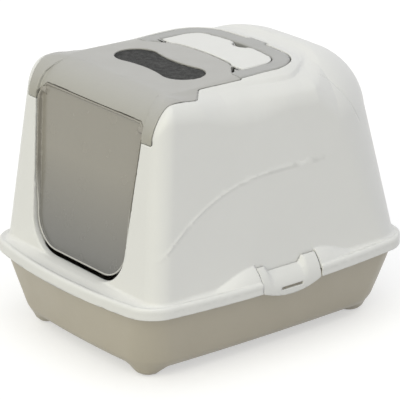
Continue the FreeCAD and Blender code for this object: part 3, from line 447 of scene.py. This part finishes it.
def filter_holder_field(x, y, z):
    plan = filter_plan(x, y)
    basket = both(plan - (HOLDER_BORDER + HOLDER_THICK), slab(z, PAD_FOOT - HOLDER_THICK, HOLDER_HEAD))
    basket = both(basket, -both(plan - HOLDER_BORDER, PAD_FOOT - z))
    from_slot = np.abs((x + SLOT_SPACING / 2) % SLOT_SPACING - SLOT_SPACING / 2)
    slots = both(from_slot - SLOT_HALF, np.abs(y - FILTER_Y) - SLOT_HALF_LONG, np.abs(x) - SLOTS_HALF)
    return cut_out(basket, slots, SLOT_ROUND)


# Handle, latches and flap.

# Underside of the handle, and the knuckles at its hinge.
HANDLE_FOOT, HANDLE_ROUND = 375.0, 2.0
KNUCKLE, KNUCKLE_HALF, KNUCKLE_REACH, KNUCKLE_BORE, BORE_HALF = 5.6, 89.0, 8.0, 2.1, 89.5


def handle_field(x, y, z):
    ax = np.abs(x)
    form = hood_form(x, y, z)
    bar = round_both(handle_plan(x, y, 0), both(form, HANDLE_FOOT - z), HANDLE_ROUND)
    # The roots' rear ends are round about the hinge, so that they turn clear of the hood.
    from_hinge = np.hypot(y - HINGE_Y, z - HINGE_Z)
    at_root = (ax < KNUCKLE_HALF) & (np.abs(y - HINGE_Y - KNUCKLE_REACH) < KNUCKLE_REACH)
    bar = both(bar, np.where(at_root, from_hinge - KNUCKLE, -KNUCKLE))
    bore = both(from_hinge - KNUCKLE_BORE, ax - BORE_HALF)
    return both(bar, -bore)


# Latch plate, its bowed lower edge and its grip slot.
LATCH_TOP, LATCH_HALF, LATCH_WALL_GAP, LATCH_THICK = 138.0, 51.0, 1.0, 4.0
LATCH_BOW, LATCH_BOW_SLOPE = 10.5, 0.0081
LATCH_CORNER, LATCH_EDGE, LATCH_INNER_EDGE = 2.0, 1.3, 0.6
GRIP_Y, GRIP_HALF, GRIP_FOOT, GRIP_HEAD, GRIP_CORNER, GRIP_EDGE = -1.0, 18.5, 103.5, 107.5, 1.2, 0.8


def latch_field(x, y, z):
    """Right latch: a plate that follows its housing, with a bowed lower edge and a grip slot."""
    form = housing_form(x, y, z)
    along = y - LATCH_BACK
    edge = both(z - LATCH_TOP, np.abs(along) - LATCH_HALF, LATCH_WALL_GAP - hood_form(x, y, z))
    low = RIM - LATCH_BOW * (1 - (along / LATCH_HALF) ** 2) - z
    outline = round_both(edge, low / np.hypot(1, LATCH_BOW_SLOPE * along), LATCH_CORNER)
    plate = cut_out(round_both(form, outline, LATCH_EDGE), form + LATCH_THICK, LATCH_INNER_EDGE)
    grip = round_both(np.abs(along - GRIP_Y) - GRIP_HALF, slab(z, GRIP_FOOT, GRIP_HEAD), GRIP_CORNER)
    return cut_out(plate, grip, GRIP_EDGE)


def left_latch_field(x, y, z):
    return latch_field(-x, y, z)


# Flap, along its own plane below and above the pivot.
FLAP_HALF, FLAP_DROP, FLAP_FOOT, FLAP_CORNER = 97.4, 220.0, -214.2, 43.4
FLAP_HEAD, FLAP_CHAMFER, FLAP_HEAD_CORNER = 10.8, 116.0, 3.0
FLAP_FRONT, FLAP_BACK, FLAP_ROUND = -0.8, 1.25, 0.7
FLAP_LIP_WIDE, FLAP_LIP_ROUND, FLAP_LIP_FILLET, FLAP_LIP_HIGH = 2.6, 1.0, 1.2, 2.85
LOW_LIP, LOW_LIP_AT, LOW_LIP_FADE = 1.4, -150.0, 40.0
SIDE_LIP, SIDE_LIP_FOOT, SIDE_LIP_FOOT_FADE, SIDE_LIP_HEAD, SIDE_LIP_HEAD_FADE = 5.5, -190.0, 80.0, 4.0, 16.0
SIDE_LIP_IN, SIDE_LIP_IN_FADE = 80.0, 12.0
# Ears of the flap, and the stubs that it hangs from.
FLAP_EAR, FLAP_EAR_IN, FLAP_EAR_OUT, FLAP_EAR_FILLET = 4.5, 103.4, 116.4, 2.0
STUB, STUB_IN, STUB_OUT = 3.0, 110.0, 121.4


def entry_flap_field(x, y, z):
    cosine, sine = math.cos(FRONT_LEAN), math.sin(FRONT_LEAN)
    dy, dz = y - FLAP_Y, z - PIVOT
    behind, above = dy * cosine - dz * sine, dy * sine + dz * cosine
    ax = np.abs(x)
    side = (ax - (FLAP_HALF + DOOR_FLARE * (above + FLAP_DROP) / DOOR_TALL)) * DOOR_SLANT
    plan = round_both(side, FLAP_FOOT - above, FLAP_CORNER)
    head = both(above - FLAP_HEAD, (ax + above - FLAP_CHAMFER) * DIAGONAL)
    plan = round_both(plan, head, FLAP_HEAD_CORNER)
    sheet = round_both(plan, slab(behind, FLAP_FRONT, FLAP_BACK), FLAP_ROUND)
    # A raised lip round the edge that stands higher along the sides.
    high = FLAP_LIP_HIGH + LOW_LIP * ease((LOW_LIP_AT - above) / LOW_LIP_FADE)
    at_side = SIDE_LIP * ease((above - SIDE_LIP_FOOT) / SIDE_LIP_FOOT_FADE)
    at_side = at_side * ease((SIDE_LIP_HEAD - above) / SIDE_LIP_HEAD_FADE)
    high = high + at_side * ease((ax - SIDE_LIP_IN) / SIDE_LIP_IN_FADE)
    lip = round_both(plan, -FLAP_LIP_WIDE - plan, FLAP_LIP_ROUND)
    lip = round_both(lip, slab(behind, -high, 0), FLAP_LIP_ROUND)
    sheet = round_join(sheet, lip, FLAP_LIP_FILLET)
    from_pivot = np.hypot(behind, above)
    ear = both(from_pivot - FLAP_EAR, slab(ax, FLAP_EAR_IN, FLAP_EAR_OUT))
    stub = both(from_pivot - STUB, slab(ax, STUB_IN, STUB_OUT))
    return either(round_join(sheet, ear, FLAP_EAR_FILLET), stub)


# Tray: half sizes at the floor, how far they flare, and how its sides bow.
TRAY_FLOOR, TRAY_RISE, TRAY_TOP, TRAY_THICK = 12.4, 103.3, 115.7, 3.0
TRAY_WIDE, TRAY_WIDE_FLARE, TRAY_SIDE_BOW, TRAY_SIDE_BOW_GROWTH = 154.0, 38.0, 7.0, 14.0
TRAY_LONG, TRAY_LONG_FLARE, TRAY_END_BOW, TRAY_END_BOW_GROWTH = 214.0, 30.0, 13.0, 11.6
TRAY_SIDE_SLANT, TRAY_END_SLANT = 0.94, 0.96
TRAY_CORNER, TRAY_CORNER_LOSS, TRAY_EDGE, TRAY_LIP_ROUND = 44.0, 12.0, 19.0, 1.0
# Flange under the hood's skirt, and the four feet.
FLANGE_IN, FLANGE_HEAD = 6.0, 130.0
FOOT_X, FOOT_Y, FOOT, FOOT_FLARE, FOOT_FLARE_TALL, FOOT_TALL = 114.0, 179.0, 21.0, 10.0, 40.4, 40.0
FOOT_SLANT, FOOT_ROUND, FOOT_FILLET = 0.97, 13.0, 7.0


def tray_form(x, y, z):
    """Closed outer form of the tray's walls."""
    up = (z - TRAY_FLOOR) / TRAY_RISE
    side_bow = (TRAY_SIDE_BOW + TRAY_SIDE_BOW_GROWTH * up) * (y / SKIRT_LONG) ** 2
    side = np.abs(x) - (TRAY_WIDE + TRAY_WIDE_FLARE * up - side_bow)
    end_bow = (TRAY_END_BOW + TRAY_END_BOW_GROWTH * up) * (x / SKIRT_WIDE) ** 2
    end = np.abs(y) - (TRAY_LONG + TRAY_LONG_FLARE * up - end_bow)
    return round_both(side * TRAY_SIDE_SLANT, end * TRAY_END_SLANT, TRAY_CORNER - TRAY_CORNER_LOSS * up)


def tray_field(x, y, z):
    wall = tray_form(x, y, z)
    body = round_both(wall, TRAY_FLOOR - z, TRAY_EDGE)
    foot = np.hypot(np.abs(x) - FOOT_X, np.abs(y) - FOOT_Y) - (FOOT + FOOT_FLARE * z / FOOT_FLARE_TALL)
    foot = round_both(both(foot * FOOT_SLANT, z - FOOT_TALL), -z, FOOT_ROUND)
    body = round_join(body, both(foot, wall + TRAY_THICK), FOOT_FILLET)
    flange = both(rim_plan(x, y) + FLANGE_IN, slab(z, TRAY_TOP - TRAY_THICK, FLANGE_HEAD))
    body = both(either(body, flange), z - TRAY_TOP)
    cavity = round_both(wall + TRAY_THICK, TRAY_FLOOR + TRAY_THICK - z, TRAY_EDGE - TRAY_THICK)
    return cut_out(body, cavity, TRAY_LIP_ROUND)


# Meshes.

# Points of a field are worked out in blocks, and only in those that the surface may cross.
BLOCK, BLOCK_REACH, BATCH = 6, 1.25, 1500000
FLAT_MERGE, SNAPS, LEAST_SLOPE, SLOPE_STEP, QUICK_COARSER = 0.3, 2, 0.05, 0.25, 1.8


def sloped(field, spots):
    """Field and its slope at each spot."""
    slope = np.empty_like(spots)
    for i in range(3):
        ahead, behind = spots.copy(), spots.copy()
        ahead[:, i] += SLOPE_STEP
        behind[:, i] -= SLOPE_STEP
        slope[:, i] = (field(*ahead.T) - field(*behind.T)) / (2 * SLOPE_STEP)
    return field(*spots.T), slope


def sampled(field, low, high, voxel):
    """Values of a field on a grid from the low corner, exact near the surface."""
    count = np.ceil((high - low) / (voxel * BLOCK)).astype(int)
    centres = [low[i] + voxel * ((np.arange(count[i]) + 0.5) * BLOCK - 0.5) for i in range(3)]
    blocks = field(*np.meshgrid(*centres, indexing="ij"))
    values = np.broadcast_to(blocks[..., None, None, None], (*count, BLOCK, BLOCK, BLOCK)).astype(np.float32)
    near = np.argwhere(np.abs(blocks) < voxel * BLOCK * BLOCK_REACH)
    steps = np.indices((BLOCK, BLOCK, BLOCK)).reshape(3, -1).T
    for part in np.array_split(near, max(1, len(near) * BLOCK ** 3 // BATCH)):
        points = low + voxel * (part[:, None, :] * BLOCK + steps[None])
        found = field(points[..., 0], points[..., 1], points[..., 2])
        values[part[:, 0], part[:, 1], part[:, 2]] = found.reshape(len(part), BLOCK, BLOCK, BLOCK)
    return values.transpose(0, 3, 1, 4, 2, 5).reshape(count * BLOCK)


def thin_out(piece, share):
    """Fewer faces where the surface is nearly flat."""
    fewer = piece.modifiers.new("fewer_faces", "DECIMATE")
    fewer.ratio = share
    shown = piece.evaluated_get(bpy.context.evaluated_depsgraph_get())
    mesh = bpy.data.meshes.new_from_object(shown)
    mesh.name = piece.name
    piece.modifiers.clear()
    piece.data = mesh


def moulded(name, field, low, high, voxel, mirrored, share):
    """Smooth mesh of a field, within a box. A mirrored piece is worked out for x above 0."""
    low, high = np.array(low, float), np.array(high, float)
    if mirrored:
        low[0] = voxel / 2
    dense = sampled(field, low, high, voxel)
    if mirrored:
        low[0] -= voxel * len(dense)
        dense = np.concatenate((dense[::-1], dense))
    grid = openvdb.FloatGrid(float(dense.max()))
    grid.copyFromArray(np.ascontiguousarray(dense))
    spots, triangles, quads = grid.convertToPolygons(isovalue=0.0, adaptivity=FLAT_MERGE)
    spots = low + voxel * np.asarray(spots, float)
    for _ in range(SNAPS):
        value, slope = sloped(field, spots)
        step = value / np.maximum((slope ** 2).sum(1), LEAST_SLOPE)
        spots -= np.clip(step, -voxel, voxel)[:, None] * slope
    corners = np.concatenate((np.asarray(quads).ravel(), np.asarray(triangles).ravel()))
    starts = np.concatenate((np.arange(len(quads)) * 4, len(quads) * 4 + np.arange(len(triangles)) * 3))
    mesh = bpy.data.meshes.new(name)
    mesh.vertices.add(len(spots))
    mesh.vertices.foreach_set("co", (spots * MM).astype(np.float32).ravel())
    mesh.loops.add(len(corners))
    mesh.loops.foreach_set("vertex_index", corners.astype(np.int32))
    mesh.polygons.add(len(starts))
    mesh.polygons.foreach_set("loop_start", starts.astype(np.int32))
    mesh.update(calc_edges=True)
    mesh.validate()
    piece = bpy.data.objects.new(name, mesh)
    bpy.context.scene.collection.objects.link(piece)
    thin_out(piece, share)
    smooth(piece.data, field)
    return piece


def smooth(mesh, field):
    """Shading normals from the field's own slope."""
    spots = np.empty(len(mesh.vertices) * 3, np.float32)
    mesh.vertices.foreach_get("co", spots)
    normals = sloped(field, spots.reshape(-1, 3).astype(float) / MM)[1]
    normals /= np.maximum(np.linalg.norm(normals, axis=1), 1e-9)[:, None]
    mesh.polygons.foreach_set("use_smooth", np.ones(len(mesh.polygons), bool))
    mesh.normals_split_custom_set_from_vertices(normals.astype(np.float32))


# Finishes.

def add(tree, kind, inputs=None, **settings):
    """A node with its settings; an input is a value or another node's output."""
    node = tree.nodes.new(kind)
    for key, value in settings.items():
        setattr(node, key, value)
    for key, value in (inputs or {}).items():
        if isinstance(value, bpy.types.NodeSocket):
            tree.links.new(value, node.inputs[key])
        else:
            node.inputs[key].default_value = value
    return node


def sums(tree, how, a, b):
    return add(tree, "ShaderNodeMath", {0: a, 1: b}, operation=how).outputs[0]


def spread(tree, value, low, high, to_low, to_high):
    node = add(tree, "ShaderNodeMapRange", {0: value, 1: low, 2: high, 3: to_low, 4: to_high})
    return node.outputs[0]


def tint(tree, amount, a, b):
    node = add(tree, "ShaderNodeMix", {0: amount, 6: a, 7: b}, data_type="RGBA", blend_type="MIX")
    return node.outputs[2]


def noise(tree, place, scale, detail, rough=0.5):
    settings = {"Vector": place, "Scale": scale, "Detail": detail, "Roughness": rough}
    return add(tree, "ShaderNodeTexNoise", settings).outputs[0]


def on_object(tree):
    return add(tree, "ShaderNodeTexCoord").outputs["Object"]


def effect(name, inputs, outputs):
    """An empty node group, with number inputs and number outputs."""
    group = bpy.data.node_groups.new(name, "ShaderNodeTree")
    for label, value in inputs:
        group.interface.new_socket(label, in_out="INPUT", socket_type="NodeSocketFloat").default_value = value
    for label in outputs:
        group.interface.new_socket(label, in_out="OUTPUT", socket_type="NodeSocketFloat")
    return group, group.nodes.new("NodeGroupInput").outputs, group.nodes.new("NodeGroupOutput")


def moulded_grain():
    """Fine spark-eroded grain of a mould, and the cloudy flow of the plastic."""
    group, ins, out = effect("moulded_grain", (("Grain", 900.0), ("Flow", 9.0)), ("Height", "Cloud", "Sheen"))
    place = on_object(group)
    fine = noise(group, place, ins["Grain"], 3.0, 0.65)
    slow = noise(group, place, ins["Flow"], 5.0, 0.6)
    wide = noise(group, place, sums(group, "MULTIPLY", ins["Flow"], 3.7), 4.0)
    group.links.new(fine, out.inputs["Height"])
    group.links.new(spread(group, slow, 0.3, 0.7, 0.0, 1.0), out.inputs["Cloud"])
    group.links.new(spread(group, wide, 0.3, 0.7, 0.0, 1.0), out.inputs["Sheen"])
    return group


def handling_marks():
    """Short fine scratches and rubbed spots left by use."""
    group, ins, out = effect("handling_marks", (("Length", 26.0), ("Amount", 0.3)), ("Scratch", "Rub"))
    place = on_object(group)
    lines = None
    for turn in (0.6, -0.9, 1.9):
        drawn_out = {"Vector": place, "Rotation": (turn, turn * 0.7, turn * 1.3), "Scale": (1.0, 70.0, 70.0)}
        turned = add(group, "ShaderNodeMapping", drawn_out).outputs[0]
        line = spread(group, noise(group, turned, ins["Length"], 1.0), 0.7, 0.78, 0.0, 1.0)
        lines = line if lines is None else sums(group, "MAXIMUM", lines, line)
    rub = spread(group, noise(group, place, 11.0, 6.0, 0.7), 0.55, 0.75, 0.0, 1.0)
    group.links.new(sums(group, "MULTIPLY", lines, ins["Amount"]), out.inputs["Scratch"])
    group.links.new(sums(group, "MULTIPLY", rub, ins["Amount"]), out.inputs["Rub"])
    return group


def settled_dust():
    """A thin veil of litter dust that lies on upward faces."""
    group, ins, out = effect("settled_dust", (("Amount", 0.2),), ("Veil",))
    facing = add(group, "ShaderNodeNewGeometry").outputs["Normal"]
    up = add(group, "ShaderNodeSeparateXYZ", {0: facing}).outputs[2]
    specks = spread(group, noise(group, on_object(group), 160.0, 6.0, 0.75), 0.4, 0.7, 0.0, 1.0)
    veil = sums(group, "MULTIPLY", spread(group, up, 0.2, 1.0, 0.0, 1.0), specks)
    group.links.new(sums(group, "MULTIPLY", veil, ins["Amount"]), out.inputs["Veil"])
    return group


def painted_shade_by_height():
    """How far a spot lies down between two heights, for a painted shade that darkens a piece towards its
    foot.
    """
    group, ins, out = effect("painted_shade_by_height", (("Foot", 0.1), ("Head", 0.3)), ("Depth",))
    height = add(group, "ShaderNodeSeparateXYZ", {0: on_object(group)}).outputs[2]
    group.links.new(spread(group, height, ins["Head"], ins["Foot"], 0.0, 1.0), out.inputs["Depth"])
    return group


GRAIN, MARKS, DUST, PAINTED_SHADE = moulded_grain(), handling_marks(), settled_dust(), painted_shade_by_height()
DUST_COLOUR = (0.62, 0.6, 0.55, 1)
# How roughness varies with the sheen, where the plastic is rubbed and under dust.
SHEEN_LOW, SHEEN_HIGH, RUB_ROUGHER, DUST_ROUGHER = -0.04, 0.05, 0.18, 0.4
GRAIN_REACH = 0.4
# Painted highlight on the flap's raised lip: how far the lip stands ahead of the panel, and the heights
# between which the highlight is painted.
LIP_HIGHLIGHT_COLOUR, LIP_HIGHLIGHT_SHARE = (0.66, 0.65, 0.62, 1), 0.7
HIGHLIGHT_START, HIGHLIGHT_FULL, HIGHLIGHT_HEAD, HIGHLIGHT_FOOT = 2.4, 3.4, 240, 190
FELT_DARK, FELT_GREY, FELT_FLECK = (0.045, 0.045, 0.046, 1), (0.1, 0.1, 0.1, 1), (0.3, 0.3, 0.295, 1)
FELT_ROUGH, FELT_SHINE, FELT_REACH = 0.95, 0.15, 1.5


def finish(name):
    material = bpy.data.materials.new(name)
    material.use_nodes = True
    return material, material.node_tree, material.node_tree.nodes["Principled BSDF"]


def moulded_plastic(name, colour, rough, grain, depth, marks, dust, cloud=0.03, foot=None):
    """Injection-moulded plastic: grain, cloudy colour, scratches, dust and a painted shade, darker towards
    its foot.
    """
    material, tree, shader = finish(name)
    moulding = add(tree, "ShaderNodeGroup", node_tree=GRAIN)
    moulding.inputs["Grain"].default_value = grain
    handled = add(tree, "ShaderNodeGroup", node_tree=MARKS)
    handled.inputs["Amount"].default_value = marks
    dusty = add(tree, "ShaderNodeGroup", node_tree=DUST)
    dusty.inputs["Amount"].default_value = dust
    pale = tuple(min(1.0, c * (1 + cloud)) for c in colour) + (1,)
    deep = tuple(c * (1 - cloud) for c in colour) + (1,)
    scratched = tuple(0.5 * c + 0.4 for c in colour) + (1,)
    base = tint(tree, moulding.outputs["Cloud"], deep, pale)
    # Painted shade: towards its foot the colour is blended to a darker one that stands in for shade.
    if foot:
        foot_height, head_height, painted_shade_colour = foot
        lower = add(tree, "ShaderNodeGroup", node_tree=PAINTED_SHADE)
        lower.inputs["Foot"].default_value = foot_height * MM
        lower.inputs["Head"].default_value = head_height * MM
        base = tint(tree, lower.outputs["Depth"], base, painted_shade_colour + (1,))
    base = tint(tree, handled.outputs["Scratch"], base, scratched)
    base = tint(tree, dusty.outputs["Veil"], base, DUST_COLOUR)
    tree.links.new(base, shader.inputs["Base Color"])
    sheen = spread(tree, moulding.outputs["Sheen"], 0.0, 1.0, rough + SHEEN_LOW, rough + SHEEN_HIGH)
    sheen = sums(tree, "ADD", sheen, sums(tree, "MULTIPLY", handled.outputs["Rub"], RUB_ROUGHER))
    sheen = sums(tree, "ADD", sheen, sums(tree, "MULTIPLY", dusty.outputs["Veil"], DUST_ROUGHER))
    tree.links.new(sheen, shader.inputs["Roughness"])
    height = sums(tree, "SUBTRACT", moulding.outputs["Height"], handled.outputs["Scratch"])
    bump = add(tree, "ShaderNodeBump", {"Strength": depth, "Distance": GRAIN_REACH * MM, "Height": height})
    tree.links.new(bump.outputs[0], shader.inputs["Normal"])
    return material


def painted_lip_highlight(material):
    """The flap's raised lower lip, painted pale as a highlight."""
    tree = material.node_tree
    shader = tree.nodes["Principled BSDF"]
    place = add(tree, "ShaderNodeSeparateXYZ", {0: on_object(tree)}).outputs
    ahead = sums(tree, "SUBTRACT", sums(tree, "MULTIPLY", place[1], math.cos(FRONT_LEAN)),
                 sums(tree, "MULTIPLY", place[2], math.sin(FRONT_LEAN)))
    panel = (FLAP_Y * math.cos(FRONT_LEAN) - PIVOT * math.sin(FRONT_LEAN)) * MM
    lip = spread(tree, ahead, panel - HIGHLIGHT_START * MM, panel - HIGHLIGHT_FULL * MM, 0.0, LIP_HIGHLIGHT_SHARE)
    low = spread(tree, place[2], HIGHLIGHT_HEAD * MM, HIGHLIGHT_FOOT * MM, 0.0, 1.0)
    lip = sums(tree, "MULTIPLY", lip, low)
    base = shader.inputs["Base Color"].links[0].from_socket
    # Painted highlight: the lip's colour is blended to a pale one.
    tree.links.new(tint(tree, lip, base, LIP_HIGHLIGHT_COLOUR), shader.inputs["Base Color"])
    return material


def filter_felt():
    """Dark carbon felt, fibrous and flecked."""
    material, tree, shader = finish("carbon_felt")
    place = on_object(tree)
    fibre = noise(tree, place, 520.0, 8.0, 0.8)
    clump = noise(tree, place, 150.0, 4.0, 0.6)
    fleck = add(tree, "ShaderNodeTexVoronoi", {"Vector": place, "Scale": 420.0}).outputs["Distance"]
    clumped = spread(tree, clump, 0.3, 0.7, 0.0, 1.0)
    base = tint(tree, clumped, FELT_DARK, FELT_GREY)
    light = sums(tree, "MULTIPLY", spread(tree, fleck, 0.1, 0.24, 1.0, 0.0), 0.5)
    tree.links.new(tint(tree, light, base, FELT_FLECK), shader.inputs["Base Color"])
    shader.inputs["Roughness"].default_value = FELT_ROUGH
    shader.inputs["Specular IOR Level"].default_value = FELT_SHINE
    height = sums(tree, "ADD", fibre, sums(tree, "MULTIPLY", clump, 1.5))
    bump = add(tree, "ShaderNodeBump", {"Strength": 0.9, "Distance": FELT_REACH * MM, "Height": height})
    tree.links.new(bump.outputs[0], shader.inputs["Normal"])
    return material


WHITE_HOOD = moulded_plastic(
    "hood_white_plastic", (0.75, 0.75, 0.738),
    rough=0.36, grain=1100.0, depth=0.10, marks=0.06, dust=0.03, cloud=0.012)
TAUPE_TRAY = moulded_plastic(
    "tray_taupe_plastic", (0.472, 0.432, 0.355),
    rough=0.42, grain=900.0, depth=0.14, marks=0.15, dust=0.10)
# Painted shade: below 380 mm the flip top's colour turns darker and warmer towards its lower front, for the
# shade and warm light that fall there.
GREY_LID = moulded_plastic(
    "lid_grey_plastic", (0.425, 0.42, 0.405),
    rough=0.34, grain=1000.0, depth=0.10, marks=0.06, dust=0.05, cloud=0.015,
    foot=(338, 380, (0.375, 0.364, 0.32)))
# Painted shade: below 270 mm the flap's colour darkens towards its foot, for the shade in which it lies
# recessed.
SMOKE_FLAP = moulded_plastic(
    "flap_smoke_plastic", (0.315, 0.297, 0.262),
    rough=0.24, grain=1200.0, depth=0.008, marks=0.0, dust=0.02, cloud=0.012,
    foot=(128, 270, (0.165, 0.164, 0.162)))
GREY_HANDLE = moulded_plastic(
    "handle_grey_plastic", (0.385, 0.385, 0.38),
    rough=0.38, grain=1000.0, depth=0.12, marks=0.14, dust=0.05, cloud=0.02)
WHITE_LATCH = moulded_plastic(
    "latch_white_plastic", (0.72, 0.72, 0.708),
    rough=0.36, grain=1100.0, depth=0.10, marks=0.08, dust=0.03, cloud=0.012)
DARK_FELT = filter_felt()
# Painted highlight along the flap's lower lip.
painted_lip_highlight(SMOKE_FLAP)


# The assembly. Each row: name, field, corners of the box that holds it, grid spacing, whether one half
# mirrors the other, share of faces kept, CAD node, body, material slot and finish.

PIECES = (
    ("tray_moulding", tray_field, (-197, -249, -3), (197, 249, 119), 2.0, True, 0.4,
     "tray", "tray", "tray_plastic", TAUPE_TRAY),
    ("hood_moulding", hood_field, (-201, -253, 101), (201, 253, 388), 1.2, True, 0.5,
     "hood", "hood", "hood_plastic", WHITE_HOOD),
    ("flip_top_moulding", flip_top_field, (-141, -196, 328), (141, 12, 388), 1.2, True, 0.5,
     "flip_top", "flip_top", "lid_plastic", GREY_LID),
    ("entry_flap_moulding", entry_flap_field, (-124, -214, 124), (124, -172, 356), 1.2, True, 0.4,
     "entry_flap", "entry_flap", "flap_plastic", SMOKE_FLAP),
    ("filter_pad_felt", filter_pad_field, (-90, -108, 373), (90, -31, 385), 1.5, True, 1.0,
     "filter_pad", "flip_top", "filter_foam", DARK_FELT),
    ("filter_holder_moulding", filter_holder_field, (-92, -110, 371), (92, -29, 385), 1.0, True, 0.6,
     "filter_holder", "flip_top", "lid_plastic", GREY_LID),
    ("handle_moulding", handle_field, (-117, -21, 372), (117, 109, 388), 1.2, True, 0.8,
     "handle", "handle", "handle_plastic", GREY_HANDLE),
    ("right_latch_moulding", latch_field, (174, -52, 90), (201, 66, 142), 1.0, False, 0.8,
     "right_latch", "right_latch", "latch_plastic", WHITE_LATCH),
    ("left_latch_moulding", left_latch_field, (-201, -52, 90), (-174, 66, 142), 1.0, False, 0.8,
     "left_latch", "left_latch", "latch_plastic", WHITE_LATCH),
)
for name, field, low, high, voxel, mirrored, share, node, body, slot, material in PIECES:
    piece = moulded(name, field, low, high, voxel * (1.0), mirrored, share)
    piece.data.materials.append(material)
    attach(piece, body)
    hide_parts(node)


# Floor, light and camera, in metres.

FLOOR_HALF, FLOOR_GREY, FLOOR_GLOW = 9.0, (0.6, 0.6, 0.6, 1), 0.5
SKY_SEEN, SKY_LIGHT = 1.0, 0.62
# Soft lights: name, direction that they shine from, strength, breadth in degrees and colour.
SOFTBOXES = (
    ("front_softbox", (0.25, -0.85, 0.45), 0.86, 50, (1.0, 0.975, 0.70)),
    ("top_softbox", (0.25, -0.15, 0.95), 0.80, 60, (0.94, 0.968, 1.0)),
)
LENS, SENSOR, FAR_END = 224.9, 36.0, 100.0
TOWARDS_CAMERA, CAMERA_DISTANCE = (0.7325, -0.5818, 0.3535), 3.486
AIM, AIM_RIGHT, AIM_UP = (0, 0, 0.187), -0.00018, -0.01454


def white_floor():
    mesh = bpy.data.meshes.new("floor")
    corners = [(-FLOOR_HALF, -FLOOR_HALF, 0), (FLOOR_HALF, -FLOOR_HALF, 0),
               (FLOOR_HALF, FLOOR_HALF, 0), (-FLOOR_HALF, FLOOR_HALF, 0)]
    mesh.from_pydata(corners, [], [(0, 1, 2, 3)])
    floor = bpy.data.objects.new("floor", mesh)
    bpy.context.scene.collection.objects.link(floor)
    material = bpy.data.materials.new("white_floor")
    material.use_nodes = True
    tree = material.node_tree
    tree.nodes.clear()
    path = add(tree, "ShaderNodeLightPath").outputs
    seen = sums(tree, "MAXIMUM", path["Is Camera Ray"], path["Is Glossy Ray"])
    matt = add(tree, "ShaderNodeBsdfDiffuse", {"Color": FLOOR_GREY})
    glow = add(tree, "ShaderNodeEmission", {"Strength": sums(tree, "MULTIPLY", seen, FLOOR_GLOW)})
    joined = add(tree, "ShaderNodeAddShader", {0: matt.outputs[0], 1: glow.outputs[0]})
    add(tree, "ShaderNodeOutputMaterial", {"Surface": joined.outputs[0]})
    mesh.materials.append(material)


def studio_light():
    world = bpy.data.worlds.new("studio")
    world.use_nodes = True
    tree = world.node_tree
    tree.nodes.clear()
    path = add(tree, "ShaderNodeLightPath").outputs
    seen = sums(tree, "MAXIMUM", path["Is Camera Ray"], path["Is Glossy Ray"])
    seen = sums(tree, "MAXIMUM", seen, path["Is Transmission Ray"])
    strength = spread(tree, seen, 0.0, 1.0, SKY_LIGHT, SKY_SEEN)
    back = add(tree, "ShaderNodeBackground", {"Color": (1, 1, 1, 1), "Strength": strength})
    add(tree, "ShaderNodeOutputWorld", {"Surface": back.outputs[0]})
    bpy.context.scene.world = world
    for name, towards, strength, breadth, colour in SOFTBOXES:
        lamp = bpy.data.lights.new(name, "SUN")
        lamp.energy = strength
        lamp.angle = math.radians(breadth)
        lamp.color = colour
        stand = bpy.data.objects.new(name, lamp)
        stand.rotation_euler = Vector(towards).to_track_quat("Z", "Y").to_euler()
        bpy.context.scene.collection.objects.link(stand)


def photograph_camera():
    camera = bpy.data.cameras.new("photograph_camera")
    camera.lens = LENS
    camera.sensor_width = SENSOR
    camera.clip_end = FAR_END
    stand = bpy.data.objects.new("photograph_camera", camera)
    back = Vector(TOWARDS_CAMERA).normalized()
    right = Vector((0, 0, 1)).cross(back).normalized()
    up = back.cross(right)
    target = Vector(AIM) + right * AIM_RIGHT + up * AIM_UP
    turned = Matrix((right, up, back)).transposed().to_4x4()
    stand.matrix_world = Matrix.Translation(target + back * CAMERA_DISTANCE) @ turned
    bpy.context.scene.collection.objects.link(stand)
    bpy.context.scene.camera = stand


white_floor()
studio_light()
photograph_camera()
bpy.context.scene.view_settings.view_transform = "Standard"
